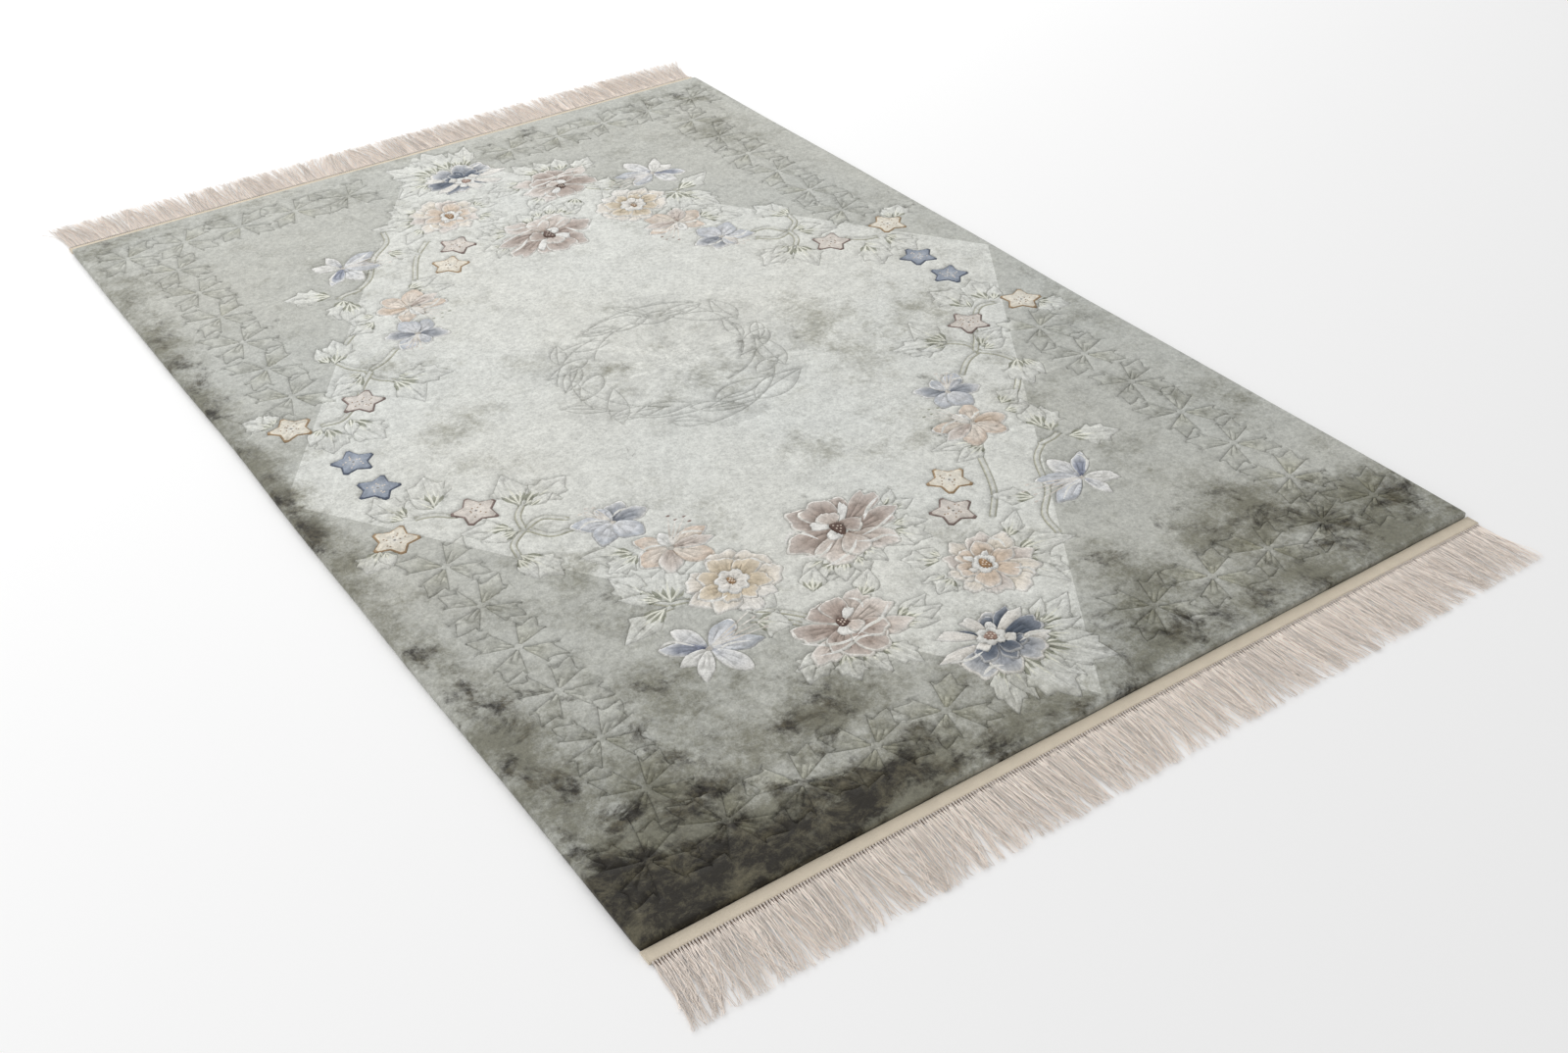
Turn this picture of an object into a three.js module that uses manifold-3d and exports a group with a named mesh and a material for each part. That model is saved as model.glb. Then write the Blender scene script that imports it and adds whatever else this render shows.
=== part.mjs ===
// A Chinese carved rug lying flat on the floor.
// A dense cut-pile carpet has its garland, border and wreath outlined by grooves clipped into the pile.
// A flat woven tape is sewn along each end, and a row of loose fringe locks grows from each tape.
// Millimetres, +Z up. X runs across the rug, Y along it, and the origin is on the floor at its centre.

import * as THREE from 'three';
import { mergeVertices } from 'three/addons/utils/BufferGeometryUtils.js';
import Module from 'manifold-3d';

const wasm = await Module();
wasm.setup();

// Carpet
const pileWidth = 1200;
const pileLength = 1800;
const thickness = 9;
const edgeRound = 3;
const sideWander = 2.5;
const sideWanderPitch = 1130;
const outlineStep = 120;

// Carving
const grooveDepth = 2;
const grooveHalfWidth = 1.8;
const crown = 0.9;
const eyeDip = 0.8;
const eyeShare = 0.36;

// Sewn tape at each end
const tapeWidth = 18;
const tapeThickness = 3.2;
const tapeRound = 1.1;
const tapeLength = 1197;
const seamGap = 0.3;

// Fringe
const locksPerEnd = 140;
const stripWidth = 3;
const stripThickness = 2.4;
const lockLength = 87;
const lockWidth = 4.6;
const lockHeight = 2.3;
const lockStations = 3;
const lockShortfall = 0.2;
const clumpLength = 46;
const clumpPull = 5.5;
const lean = 7;

// Blossoms of the near half of the garland: centre, radius, number of petals and turn in degrees.
const blossoms = [
  { name: 'largeRosePeony', x: -50, y: -462, r: 70, petals: 6, turn: 0 },
  { name: 'goldPeony', x: -216, y: -476, r: 54, petals: 5, turn: 20 },
  { name: 'duskyPeony', x: -150, y: -626, r: 58, petals: 6, turn: 10 },
  { name: 'peachPeony', x: 54, y: -632, r: 56, petals: 6, turn: 25 },
  { name: 'bluePeony', x: -30, y: -746, r: 58, petals: 6, turn: 0 },
  { name: 'leftLily', x: -308, y: -566, r: 44, petals: 5, turn: 30 },
  { name: 'rightLily', x: 264, y: -562, r: 44, petals: 5, turn: 150 },
  { name: 'leftPeachBloom', x: -240, y: -374, r: 42, petals: 5, turn: 90 },
  { name: 'rightPeachBloom', x: 232, y: -362, r: 42, petals: 5, turn: 80 },
  { name: 'leftBlueBloom', x: -274, y: -288, r: 36, petals: 5, turn: 60 },
  { name: 'rightBlueBloom', x: 264, y: -280, r: 36, petals: 5, turn: 120 },
];

// Five-pointed star flowers of the near half.
const stars = [
  { x: 128, y: -460, r: 28, turn: 90 },
  { x: 86, y: -520, r: 28, turn: 60 },
  { x: -400, y: -162, r: 29, turn: 90 },
  { x: -512, y: -157, r: 28, turn: 50 },
  { x: -480, y: -40, r: 28, turn: 270 },
  { x: 398, y: -150, r: 28, turn: 85 },
  { x: 512, y: -144, r: 28, turn: 130 },
  { x: 480, y: -40, r: 28, turn: 275 },
];

// Leaves of the near half, each from its stalk end to its tip.
const leaves = [
  { from: [-54, -816], to: [-92, -866], width: 30 },
  { from: [-22, -818], to: [-16, -880], width: 34 },
  { from: [18, -806], to: [60, -852], width: 32 },
  { from: [40, -764], to: [98, -752], width: 28 },
  { from: [-204, -664], to: [-248, -692], width: 28 },
  { from: [-158, -698], to: [-172, -742], width: 28 },
  { from: [116, -598], to: [150, -562], width: 24 },
  { from: [120, -640], to: [178, -668], width: 32 },
  { from: [92, -694], to: [114, -738], width: 30 },
  { from: [-78, -546], to: [-128, -562], width: 24 },
  { from: [6, -536], to: [44, -562], width: 22 },
  { from: [32, -432], to: [84, -412], width: 24 },
  { from: [-284, -452], to: [-326, -404], width: 32 },
  { from: [-320, -496], to: [-380, -512], width: 28 },
  { from: [318, -478], to: [376, -508], width: 30 },
  { from: [298, -462], to: [342, -408], width: 28 },
  { from: [214, -436], to: [134, -394], width: 34 },
  { from: [-394, -292], to: [-372, -350], width: 32 },
  { from: [-354, -190], to: [-330, -124], width: 28 },
  { from: [-336, -204], to: [-272, -176], width: 26 },
  { from: [-384, -238], to: [-428, -204], width: 24 },
  { from: [-436, -124], to: [-420, -68], width: 24 },
  { from: [-534, -192], to: [-566, -222], width: 26 },
  { from: [352, -172], to: [328, -114], width: 28 },
  { from: [334, -192], to: [272, -166], width: 26 },
  { from: [442, -112], to: [430, -62], width: 24 },
  { from: [538, -180], to: [568, -212], width: 26 },
  { from: [394, -284], to: [372, -344], width: 32 },
];

// Border of four-petalled rosettes: a row along each end and a column along each side.
const rosetteRadius = 42;
const rosettePitch = 95;
const rosetteRowY = 810;
const rosetteRowStart = 155;
const rosettesInHalfRow = 5;
const rosetteColumnX = 482;
const rosetteColumnStart = 245;
const rosettesInHalfColumn = 6;

// Wreath in the middle of the rug: leaves lying along a ring, and small blossoms inside it.
const wreathRadius = 146;
const wreathLeaves = 12;
const wreathLeafLength = 64;
const wreathLeafWidth = 30;
const wreathBlossomRing = 100;
const wreathBlossoms = 5;
const wreathBlossomRadius = 19;

const degrees = Math.PI / 180;
const at = (x, y) => new THREE.Vector2(x, y);

// A motif is a closed outline, counter-clockwise, with a centre that the outline can be scaled about.
function motif(centre, outline, eye = false) {
  return { centre, outline, eye };
}

// Petals as three points each: a shoulder on either side of the rounded tip, and the notch between petals.
function blossomMotif({ x, y, r, petals, turn }) {
  const outline = [];
  for (let i = 0; i < petals; i++) {
    for (const [share, reach] of [[-0.5, 0.74], [-0.24, 0.97], [0.24, 0.97]]) {
      const angle = turn * degrees + ((i + share) / petals) * 2 * Math.PI;
      outline.push(at(x + Math.cos(angle) * r * reach, y + Math.sin(angle) * r * reach));
    }
  }
  return motif(at(x, y), outline, true);
}

function starMotif({ x, y, r, turn }) {
  const points = 5;
  const waist = 0.56;
  const outline = [];
  for (let i = 0; i < 2 * points; i++) {
    const angle = turn * degrees + (i * Math.PI) / points;
    const reach = i % 2 ? r * waist : r;
    outline.push(at(x + Math.cos(angle) * reach, y + Math.sin(angle) * reach));
  }
  return motif(at(x, y), outline);
}

function leafMotif({ from, to, width }) {
  const stalk = at(...from);
  const along = at(...to).sub(stalk);
  const across = at(-along.y, along.x).setLength(width / 2);
  const place = (share, side) => stalk.clone().addScaledVector(along, share).addScaledVector(across, side);
  const outline = [place(0, 0), place(0.3, -0.9), place(0.66, -0.72), place(1, 0), place(0.66, 0.72), place(0.3, 0.9)];
  return motif(place(0.48, 0), outline);
}

// Two pointed tips to each of four petals, which lie on the diagonals.
function rosetteMotif(x, y) {
  const outline = [];
  for (let i = 0; i < 4; i++) {
    for (const [offset, reach] of [[-45, 0.36], [-15, 1.15], [15, 1.15]]) {
      const angle = (45 + 90 * i + offset) * degrees;
      outline.push(at(x + Math.cos(angle) * rosetteRadius * reach, y + Math.sin(angle) * rosetteRadius * reach));
    }
  }
  return motif(at(x, y), outline);
}

function wreathMotifs() {
  const made = [];
  for (let i = 0; i < wreathLeaves; i++) {
    const angle = (i / wreathLeaves) * 2 * Math.PI;
    const middle = at(Math.cos(angle), Math.sin(angle)).multiplyScalar(wreathRadius);
    const tilt = i % 2 ? 0.5 : -0.18;
    const along = at(-Math.sin(angle + tilt), Math.cos(angle + tilt)).multiplyScalar(wreathLeafLength / 2);
    made.push(leafMotif({
      from: middle.clone().sub(along).toArray(),
      to: middle.clone().add(along).toArray(),
      width: wreathLeafWidth,
    }));
  }
  for (let i = 0; i < wreathBlossoms; i++) {
    const angle = ((i + 0.25) / wreathBlossoms) * 2 * Math.PI;
    made.push(blossomMotif({
      x: Math.cos(angle) * wreathBlossomRing,
      y: Math.sin(angle) * wreathBlossomRing,
      r: wreathBlossomRadius,
      petals: 4,
      turn: 30 * i,
    }));
  }
  return made;
}

// The garland has half-turn symmetry, so the far half is the near half turned about the centre.
function turnedAbout({ centre, outline, eye }) {
  return motif(centre.clone().negate(), outline.map((p) => p.clone().negate()), eye);
}

function rosettes() {
  const made = [];
  for (const sideX of [-1, 1]) {
    for (const sideY of [-1, 1]) {
      for (let i = 0; i < rosettesInHalfRow; i++) {
        made.push(rosetteMotif(sideX * (rosetteRowStart + i * rosettePitch), sideY * rosetteRowY));
      }
      for (let i = 0; i < rosettesInHalfColumn; i++) {
        made.push(rosetteMotif(sideX * rosetteColumnX, sideY * (rosetteColumnStart + i * rosettePitch)));
      }
    }
  }
  return made;
}

function allMotifs() {
  const half = [...blossoms.map(blossomMotif), ...stars.map(starMotif), ...leaves.map(leafMotif)];
  return [...half, ...half.map(turnedAbout), ...rosettes(), ...wreathMotifs()];
}

// The long sides of a woven rug are never quite straight: this is how far they wander from the straight line.
function wander(y) {
  const phase = (2 * Math.PI * y) / sideWanderPitch;
  return sideWander * (0.7 * Math.sin(phase) + 0.3 * Math.sin(2.7 * phase + 1));
}

// The carpet's outline, counter-clockwise, drawn in by inset.
function carpetOutline(inset) {
  const halfLength = pileLength / 2;
  const steps = Math.round(pileLength / outlineStep);
  const right = [];
  for (let i = 0; i <= steps; i++) {
    const y = -halfLength + (i * pileLength) / steps;
    const x = pileWidth / 2 - sideWander + wander(y) * Math.cos((Math.PI * y) / pileLength);
    right.push(at(x - inset, y * (1 - inset / halfLength)));
  }
  return [...right, ...right.map((p) => p.clone().negate())];
}

// Collects vertices and triangles of one closed surface.
class Surface {
  positions = [];
  triangles = [];

  ring(points, z) {
    return points.map((p) => this.positions.push(p.x, p.y, z) / 3 - 1);
  }

  // Quads from one ring to the next, both counter-clockwise seen from above: faces look up or outwards
  // when the second ring lies inside or above the first.
  strip(outer, inner) {
    outer.forEach((a, i) => {
      const next = (i + 1) % outer.length;
      this.triangles.push(a, outer[next], inner[next], a, inner[next], inner[i]);
    });
  }

  fan(ring, centre, z) {
    const [middle] = this.ring([centre], z);
    ring.forEach((a, i) => this.triangles.push(a, ring[(i + 1) % ring.length], middle));
  }

  // A flat face with holes, looking up, or down when flipped.
  flat(contour, contourRing, holes, holeRings, flipped = false) {
    const indices = [contourRing, ...holeRings].flat();
    for (const [a, b, c] of THREE.ShapeUtils.triangulateShape(contour, holes)) {
      const face = [indices[a], indices[b], indices[c]];
      this.triangles.push(...(flipped ? face.reverse() : face));
    }
  }

  geometry() {
    const geometry = new THREE.BufferGeometry();
    geometry.setAttribute('position', new THREE.Float32BufferAttribute(this.positions, 3));
    geometry.setIndex(this.triangles);
    return geometry;
  }
}

// The outline moved away from the motif's centre by a distance, or towards it when that is negative.
function spread({ centre, outline }, distance) {
  return outline.map((p) => {
    const out = p.clone().sub(centre);
    return centre.clone().addScaledVector(out, 1 + distance / out.length());
  });
}

// One motif's groove and crowned top. Returns the loop where the groove meets the pile around it.
function carve(surface, shape) {
  const lip = spread(shape, grooveHalfWidth);
  const lipRing = surface.ring(lip, thickness);
  const bottomRing = surface.ring(shape.outline, thickness - grooveDepth);
  const shoulderRing = surface.ring(spread(shape, -grooveHalfWidth), thickness);
  surface.strip(lipRing, bottomRing);
  surface.strip(bottomRing, shoulderRing);
  if (shape.eye) {
    const eye = shape.outline.map((p) => shape.centre.clone().lerp(p, eyeShare));
    const eyeRing = surface.ring(eye, thickness + crown);
    surface.strip(shoulderRing, eyeRing);
    surface.fan(eyeRing, shape.centre, thickness + crown - eyeDip);
  } else {
    surface.fan(shoulderRing, shape.centre, thickness + crown / 2);
  }
  return { lip, lipRing };
}

// The carpet as one solid: flat back, rounded rim, and a pile face carved around every motif.
function carpetGeometry() {
  const surface = new Surface();
  const rim = [
    { inset: 0.8, z: 0 },
    { inset: 0, z: 1.5 },
    { inset: 0, z: thickness - edgeRound },
    { inset: edgeRound * 0.3, z: thickness - edgeRound * 0.3 },
    { inset: edgeRound, z: thickness },
  ];
  const rings = rim.map(({ inset, z }) => surface.ring(carpetOutline(inset), z));
  rings.slice(1).forEach((ring, i) => surface.strip(rings[i], ring));
  surface.flat(carpetOutline(rim[0].inset), rings[0], [], [], true);
  const carved = allMotifs().map((shape) => carve(surface, shape));
  surface.flat(
    carpetOutline(edgeRound),
    rings.at(-1),
    carved.map(({ lip }) => lip),
    carved.map(({ lipRing }) => lipRing),
  );
  return surface.geometry();
}

// A tape with rounded upper edges, drawn as its cross-section and extruded across the rug.
function tapeGeometry() {
  const half = tapeWidth / 2;
  const profile = new THREE.Shape();
  profile.moveTo(-half, 0);
  profile.lineTo(half, 0);
  profile.lineTo(half, tapeThickness - tapeRound);
  profile.absarc(half - tapeRound, tapeThickness - tapeRound, tapeRound, 0, Math.PI / 2, false);
  profile.absarc(-half + tapeRound, tapeThickness - tapeRound, tapeRound, Math.PI / 2, Math.PI, false);
  const geometry = new THREE.ExtrudeGeometry(profile, { depth: tapeLength, bevelEnabled: false, curveSegments: 3 });
  geometry.translate(0, 0, -tapeLength / 2);
  geometry.rotateX(Math.PI / 2);
  geometry.rotateZ(Math.PI / 2);
  return geometry;
}

// A repeatable number from 0 to 1 for a lock and a seed.
function chance(i, seed) {
  const value = Math.sin(i * 12.9898 + seed * 78.233) * 43758.5453;
  return value - Math.floor(value);
}

// How far a lock has drifted sideways at a share of its length: neighbours lean alike and draw into clumps.
function drift(x, share, seed) {
  const clump = (2 * Math.PI * x) / clumpLength + seed;
  const wave = (2 * Math.PI * x) / (clumpLength * 5.3) + 2 * seed;
  return share * share * (clumpPull * Math.sin(clump) + lean * Math.sin(wave));
}

// One fringe lock, pointing along -Y: three-sided, flat on the floor and tapering to a tip.
function lockGeometry(x, length, seed) {
  const surface = new Surface();
  const loops = [];
  for (let i = 0; i < lockStations; i++) {
    const share = i / lockStations;
    const half = (lockWidth / 2) * (1 - 0.35 * share);
    const middle = x + drift(x, share, seed);
    const y = -length * share + (i ? 0 : stripWidth / 2);
    const corners = [[middle - half, 0], [middle + half, 0], [middle, lockHeight * (1 - 0.35 * share)]];
    loops.push(corners.map(([cx, z]) => surface.ring([at(cx, y)], z)[0]));
  }
  loops.slice(1).forEach((loop, i) => surface.strip(loops[i], loop));
  surface.triangles.push(loops[0][2], loops[0][1], loops[0][0]);
  surface.fan(loops.at(-1), at(x + drift(x, 1, seed), -length), 0);
  return surface.geometry();
}

function solidOf(geometry) {
  const plain = geometry.clone();
  plain.deleteAttribute('normal');
  plain.deleteAttribute('uv');
  const merged = mergeVertices(plain);
  return new wasm.Manifold(new wasm.Mesh({
    numProp: 3,
    vertProperties: merged.attributes.position.array,
    triVerts: merged.index.array,
  }));
}

function geometryOf(solid) {
  const mesh = solid.getMesh();
  const geometry = new THREE.BufferGeometry();
  geometry.setAttribute('position', new THREE.Float32BufferAttribute(mesh.vertProperties, 3));
  geometry.setIndex(Array.from(mesh.triVerts));
  return geometry;
}

// A row of locks fused at their roots into a narrow strip. The first and last few reach the full length.
function fringeGeometry(seed) {
  const strip = new THREE.BoxGeometry(tapeLength, stripWidth, stripThickness);
  strip.translate(0, -stripWidth / 2, stripThickness / 2);
  const pitch = (tapeLength - lockWidth - 2 * (clumpPull + lean)) / (locksPerEnd - 1);
  const locks = [];
  for (let i = 0; i < locksPerEnd; i++) {
    const x = (i - (locksPerEnd - 1) / 2) * pitch;
    const cut = i % 9 ? lockShortfall * chance(i, seed) : 0;
    const lock = lockGeometry(x, lockLength * (1 - cut), seed);
    lock.translate(0, -stripWidth, 0);
    locks.push(solidOf(lock));
  }
  return geometryOf(wasm.Manifold.union([solidOf(strip), ...locks]));
}

const wool = new THREE.MeshStandardMaterial({ color: 0x9a9d97, roughness: 0.85, metalness: 0 });
const tapeCotton = new THREE.MeshStandardMaterial({ color: 0xb9ad98, roughness: 0.9, metalness: 0 });
const fringeYarn = new THREE.MeshStandardMaterial({ color: 0xcdc0b2, roughness: 0.8, metalness: 0 });

function named(name, geometry, material) {
  const mesh = new THREE.Mesh(geometry, material);
  mesh.name = name;
  return mesh;
}

// The tape and fringe of one end, which is the near end turned about Z.
function endFinish(name, turn, seed) {
  const end = new THREE.Group();
  const tape = named(`${name}_tape`, tapeGeometry(), tapeCotton);
  tape.position.y = -(pileLength / 2 + seamGap + tapeWidth / 2);
  const fringe = named(`${name}_fringe`, fringeGeometry(seed), fringeYarn);
  fringe.position.y = -(pileLength / 2 + seamGap + tapeWidth + seamGap);
  end.add(tape, fringe);
  end.rotation.z = turn;
  return end;
}

const rug = new THREE.Group();
rug.add(named('carpet', carpetGeometry(), wool));
rug.add(endFinish('near', 0, 1));
rug.add(endFinish('far', Math.PI, 2));

export default rug;
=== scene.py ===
import math
import random

import bpy
import numpy as np
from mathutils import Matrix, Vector, geometry, kdtree


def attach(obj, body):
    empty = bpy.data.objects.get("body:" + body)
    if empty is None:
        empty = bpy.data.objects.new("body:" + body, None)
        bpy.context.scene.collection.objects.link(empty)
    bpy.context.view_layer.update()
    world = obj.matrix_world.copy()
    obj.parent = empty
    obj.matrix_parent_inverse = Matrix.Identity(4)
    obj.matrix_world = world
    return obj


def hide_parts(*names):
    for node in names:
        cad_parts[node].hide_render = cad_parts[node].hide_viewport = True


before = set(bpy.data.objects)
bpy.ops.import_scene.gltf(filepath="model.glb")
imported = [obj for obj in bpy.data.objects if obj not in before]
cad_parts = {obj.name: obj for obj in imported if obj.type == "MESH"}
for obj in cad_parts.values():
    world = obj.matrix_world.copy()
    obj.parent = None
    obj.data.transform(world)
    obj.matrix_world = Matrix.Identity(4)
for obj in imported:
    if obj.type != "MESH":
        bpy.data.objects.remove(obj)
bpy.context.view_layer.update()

mm = 0.001
scene = bpy.context.scene


# Camera

cameraSettings = {"place": (-1.1086, -1.9411, 1.3167), "turn": (54.32, 1.37, -34.48), "lens": 41.3}


def makeCamera(settings):
    data = bpy.data.cameras.new("roomCamera")
    data.sensor_width = 36
    data.lens = settings["lens"]
    camera = bpy.data.objects.new("roomCamera", data)
    camera.location = settings["place"]
    camera.rotation_euler = [math.radians(angle) for angle in settings["turn"]]
    scene.collection.objects.link(camera)
    scene.camera = camera


makeCamera(cameraSettings)
print("camera set")


# Small helpers

def linear(colour):  # 0 to 255 as a screen shows it, to the values that light uses
    c = np.asarray(colour, float) / 255
    return np.where(c <= 0.04045, c / 12.92, ((c + 0.055) / 1.055) ** 2.4)


def linkObject(name, mesh):
    made = bpy.data.objects.new(name, mesh)
    scene.collection.objects.link(made)
    return made


def nodeMaker(tree):
    def make(kind, inputs=None, **settings):
        node = tree.nodes.new(kind)
        for key, value in settings.items():
            setattr(node, key, value)
        for key, value in (inputs or {}).items():
            if isinstance(value, bpy.types.NodeSocket):
                tree.links.new(value, node.inputs[key])
            else:
                node.inputs[key].default_value = value
        return node
    return make


def calcMaker(make):  # one sum as a node, giving its output
    def calc(operation, a, b=0.0, c=0.0):
        return make("ShaderNodeMath", {0: a, 1: b, 2: c}, operation=operation).outputs[0]
    return calc


def sockets(tree, inputs, outputs):
    for name, kind, value in inputs:
        tree.interface.new_socket(name=name, in_out="INPUT", socket_type=kind).default_value = value
    for name, kind in outputs:
        tree.interface.new_socket(name=name, in_out="OUTPUT", socket_type=kind)


# The woven and carved pattern, in millimetres on the rug

pileSettings = {
    "width": 1200, "length": 1800, "top": 9.0, "edgeRound": 3.0,
    "sideWander": 2.5, "sidePitch": 1130,  # how the long sides wander
    "cutWidth": 1.2, "cutDepth": 1.7,  # half width and depth of the clipped grooves
    "cutGround": 1.05, "cutMotif": 0.95, "cutLine": 0.85,  # shares of that depth
    "outlineStep": 6.1, "uncutStep": 8.54, "lineStep": 5, "edgeStep": 9,  # point spacing on the lines
    "closeStep": 9.6, "openStep": 17.5,  # and between them, near a groove and in the open
    "closeFrom": 3.6, "openFrom": 15, "fillInset": 8,  # how far those points keep from grooves and edge
    "swell": 0.26, "swellOver": 7,  # how far petals and leaves stand proud, reached this far in
    "edgeProfile": ((1.7, 8.5), (2.7, 7.4), (3.0, 5.8), (3.0, 1.3), (2.2, 0.0)),  # out and up, going down
    "diamondX": 591, "diamondY": 888,
    "fade": 0.2,  # how far the dyes have lost their colour
    "rise": 8, "skew": 0.016,  # the pattern sits a little high and a little askew
}

tones = {  # base, middle and rim of a petal or leaf
    "rose": ((126, 98, 86), (174, 156, 145), (200, 188, 180)),
    "roseDeep": ((110, 82, 70), (150, 124, 112), (186, 168, 158)),
    "rosePale": ((172, 150, 135), (202, 189, 179), (222, 214, 207)),
    "gold": ((176, 146, 108), (204, 186, 156), (222, 208, 186)),
    "goldPale": ((208, 190, 164), (222, 211, 194), (229, 222, 212)),
    "apricot": ((186, 150, 120), (210, 188, 165), (222, 208, 194)),
    "peach": ((222, 215, 204), (224, 211, 197), (212, 190, 170)),
    "blueDeep": ((62, 74, 92), (84, 96, 114), (134, 141, 154)),
    "blue": ((88, 98, 116), (154, 159, 169), (202, 203, 205)),
    "bluePale": ((224, 224, 224), (208, 210, 215), (178, 184, 193)),
    "lily": ((144, 150, 168), (220, 221, 223), (232, 231, 229)),
    "lilyBlue": ((92, 100, 134), (150, 157, 176), (212, 214, 218)),
    "cream": ((200, 190, 178), (224, 219, 211), (230, 227, 221)),
    "white": ((214, 213, 205), (229, 228, 224), (232, 231, 228)),
    "leaf": ((190, 192, 176), (214, 215, 208), (219, 220, 215)),
    "leafShade": ((138, 140, 120), (156, 158, 140), (176, 178, 162)),
    "vein": ((224, 224, 208), (224, 224, 210), (220, 221, 212)),
    "stem": ((208, 209, 202), (208, 209, 202), (208, 209, 202)),
    "stemRim": ((196, 195, 174), (196, 195, 174), (196, 195, 174)),
    "goldRim": ((186, 154, 112), (178, 146, 104), (164, 132, 90)),
    "goldStar": ((226, 222, 211), (224, 216, 199), (212, 194, 162)),
    "mauveRim": ((158, 138, 130), (146, 126, 118), (132, 110, 102)),
    "mauveStar": ((218, 211, 203), (213, 204, 195), (192, 177, 167)),
    "blueRim": ((104, 114, 134), (92, 103, 124), (80, 91, 112)),
    "blueStar": ((194, 199, 206), (142, 153, 171), (106, 119, 142)),
    "heartBrown": ((84, 58, 48), (98, 70, 58), (112, 84, 72)),
    "heartRose": ((140, 106, 92), (156, 120, 104), (180, 148, 132)),
    "heartGold": ((146, 104, 56), (166, 124, 74), (188, 150, 108)),
    "bead": ((224, 208, 190), (224, 208, 190), (224, 208, 190)),
    "speck": ((152, 122, 88), (152, 122, 88), (152, 122, 88)),
    "eye": ((92, 92, 96), (110, 108, 108), (130, 126, 122)),
}
field = (185, 186, 180)
silver = (213, 214, 209)
groundShade = linear((150, 150, 128)) / linear((146, 148, 142))  # the dye of the rosettes over the field's

shapes = []  # lowest first: each is one closed outline with its own tone and place


def turnMatrix(degrees):
    a = math.radians(degrees)
    return np.array([[math.cos(a), -math.sin(a)], [math.sin(a), math.cos(a)]])


def evenly(line, step, closed=True):  # points a step apart, with the corners kept
    line = np.asarray(line, float)
    if closed:
        before, after = np.roll(line, 1, 0), np.roll(line, -1, 0)
    else:
        before, after = np.vstack([line[:1], line[:-1]]), np.vstack([line[1:], line[-1:]])
    a, b = line - before, after - line
    bend = np.abs(np.arctan2(a[:, 0] * b[:, 1] - a[:, 1] * b[:, 0], (a * b).sum(1)))
    corners = [i for i in range(len(line)) if bend[i] > 0.6]
    if not closed:
        corners = sorted({0, len(line) - 1, *corners})
    elif not corners:
        corners = [0]
    made = []
    spans = list(zip(corners, corners[1:] + ([corners[0] + len(line)] if closed else [])))
    for first, last in spans:
        part = line[np.arange(first, last + 1) % len(line)]
        far = np.concatenate([[0], np.cumsum(np.linalg.norm(np.diff(part, axis=0), axis=1))])
        count = max(1, round(far[-1] / step))
        at = np.linspace(0, far[-1], count + 1)[:-1]
        made.append(np.column_stack([np.interp(at, far, part[:, 0]), np.interp(at, far, part[:, 1])]))
    if not closed:
        made.append(line[-1:])
    return np.vstack(made)


def smoothLine(points, count=16):  # a curve through a few points
    points = np.asarray(points, float)
    ends = np.vstack([2 * points[0] - points[1], points, 2 * points[-1] - points[-2]])
    made = []
    for i in range(len(points) - 1):
        p0, p1, p2, p3 = ends[i:i + 4]
        t = np.linspace(0, 1, count, endpoint=False)[:, None]
        made.append(0.5 * (2 * p1 + (p2 - p0) * t + (2 * p0 - 5 * p1 + 4 * p2 - p3) * t ** 2
                           + (3 * p1 - p0 - 3 * p2 + p3) * t ** 3))
    made.append(points[-1:])
    return np.vstack(made)


def motif(outline, tone, kind, base, reach, seed, **more):  # one closed outline, before it is planted
    return {"outline": outline, "tone": tone, "kind": kind, "base": base, "reach": reach, "seed": seed,
            "lines": [], "cut": True, **more}


def fanPetal(tone, angle, reach, spread, tip, ruffle, base, seed, veins, point):
    rng = random.Random(seed * 977 + 13)
    phases = [rng.uniform(0, 6.28) for _ in range(3)]
    a = np.linspace(-1, 1, 33)
    radius = reach * (1 - np.abs(a) ** tip) ** 0.5
    waves = np.sin(5 * a + phases[0]) + 0.6 * np.sin(11 * a + phases[1])
    radius *= 1 + ruffle * waves * (1 - np.abs(a) ** 4)
    radius *= 1 + point * np.exp(-((a - rng.uniform(-0.15, 0.15)) / 0.24) ** 2)
    turn = math.radians(angle) + a * math.radians(spread)
    outline = np.column_stack([np.cos(turn), np.sin(turn)]) * radius[:, None] + np.array(base)
    lines = []
    for k in range(veins):
        share = (k + 1) / (veins + 1) * 2 - 1
        way = math.radians(angle + share * spread * 0.8)
        far = np.linspace(0.3, 0.72, 5)[:, None] * reach
        lines.append(np.array(base) + far * np.array([math.cos(way), math.sin(way)]))
    return motif(outline[:-1], tone, "fan", base, reach, seed, lines=lines, angle=math.radians(angle),
                 spread=math.radians(spread), radii=(a, radius + 1e-6))


def uncut(part):  # the same with no groove round it
    return {**part, "cut": False}


def bulged(points, amount):  # each straight stretch bows out a little
    made = []
    for a, b in zip(points, np.roll(points, -1, 0)):
        way = b - a
        made += [a, (a + b) / 2 + np.array([way[1], -way[0]]) * amount]
    return np.array(made)


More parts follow.
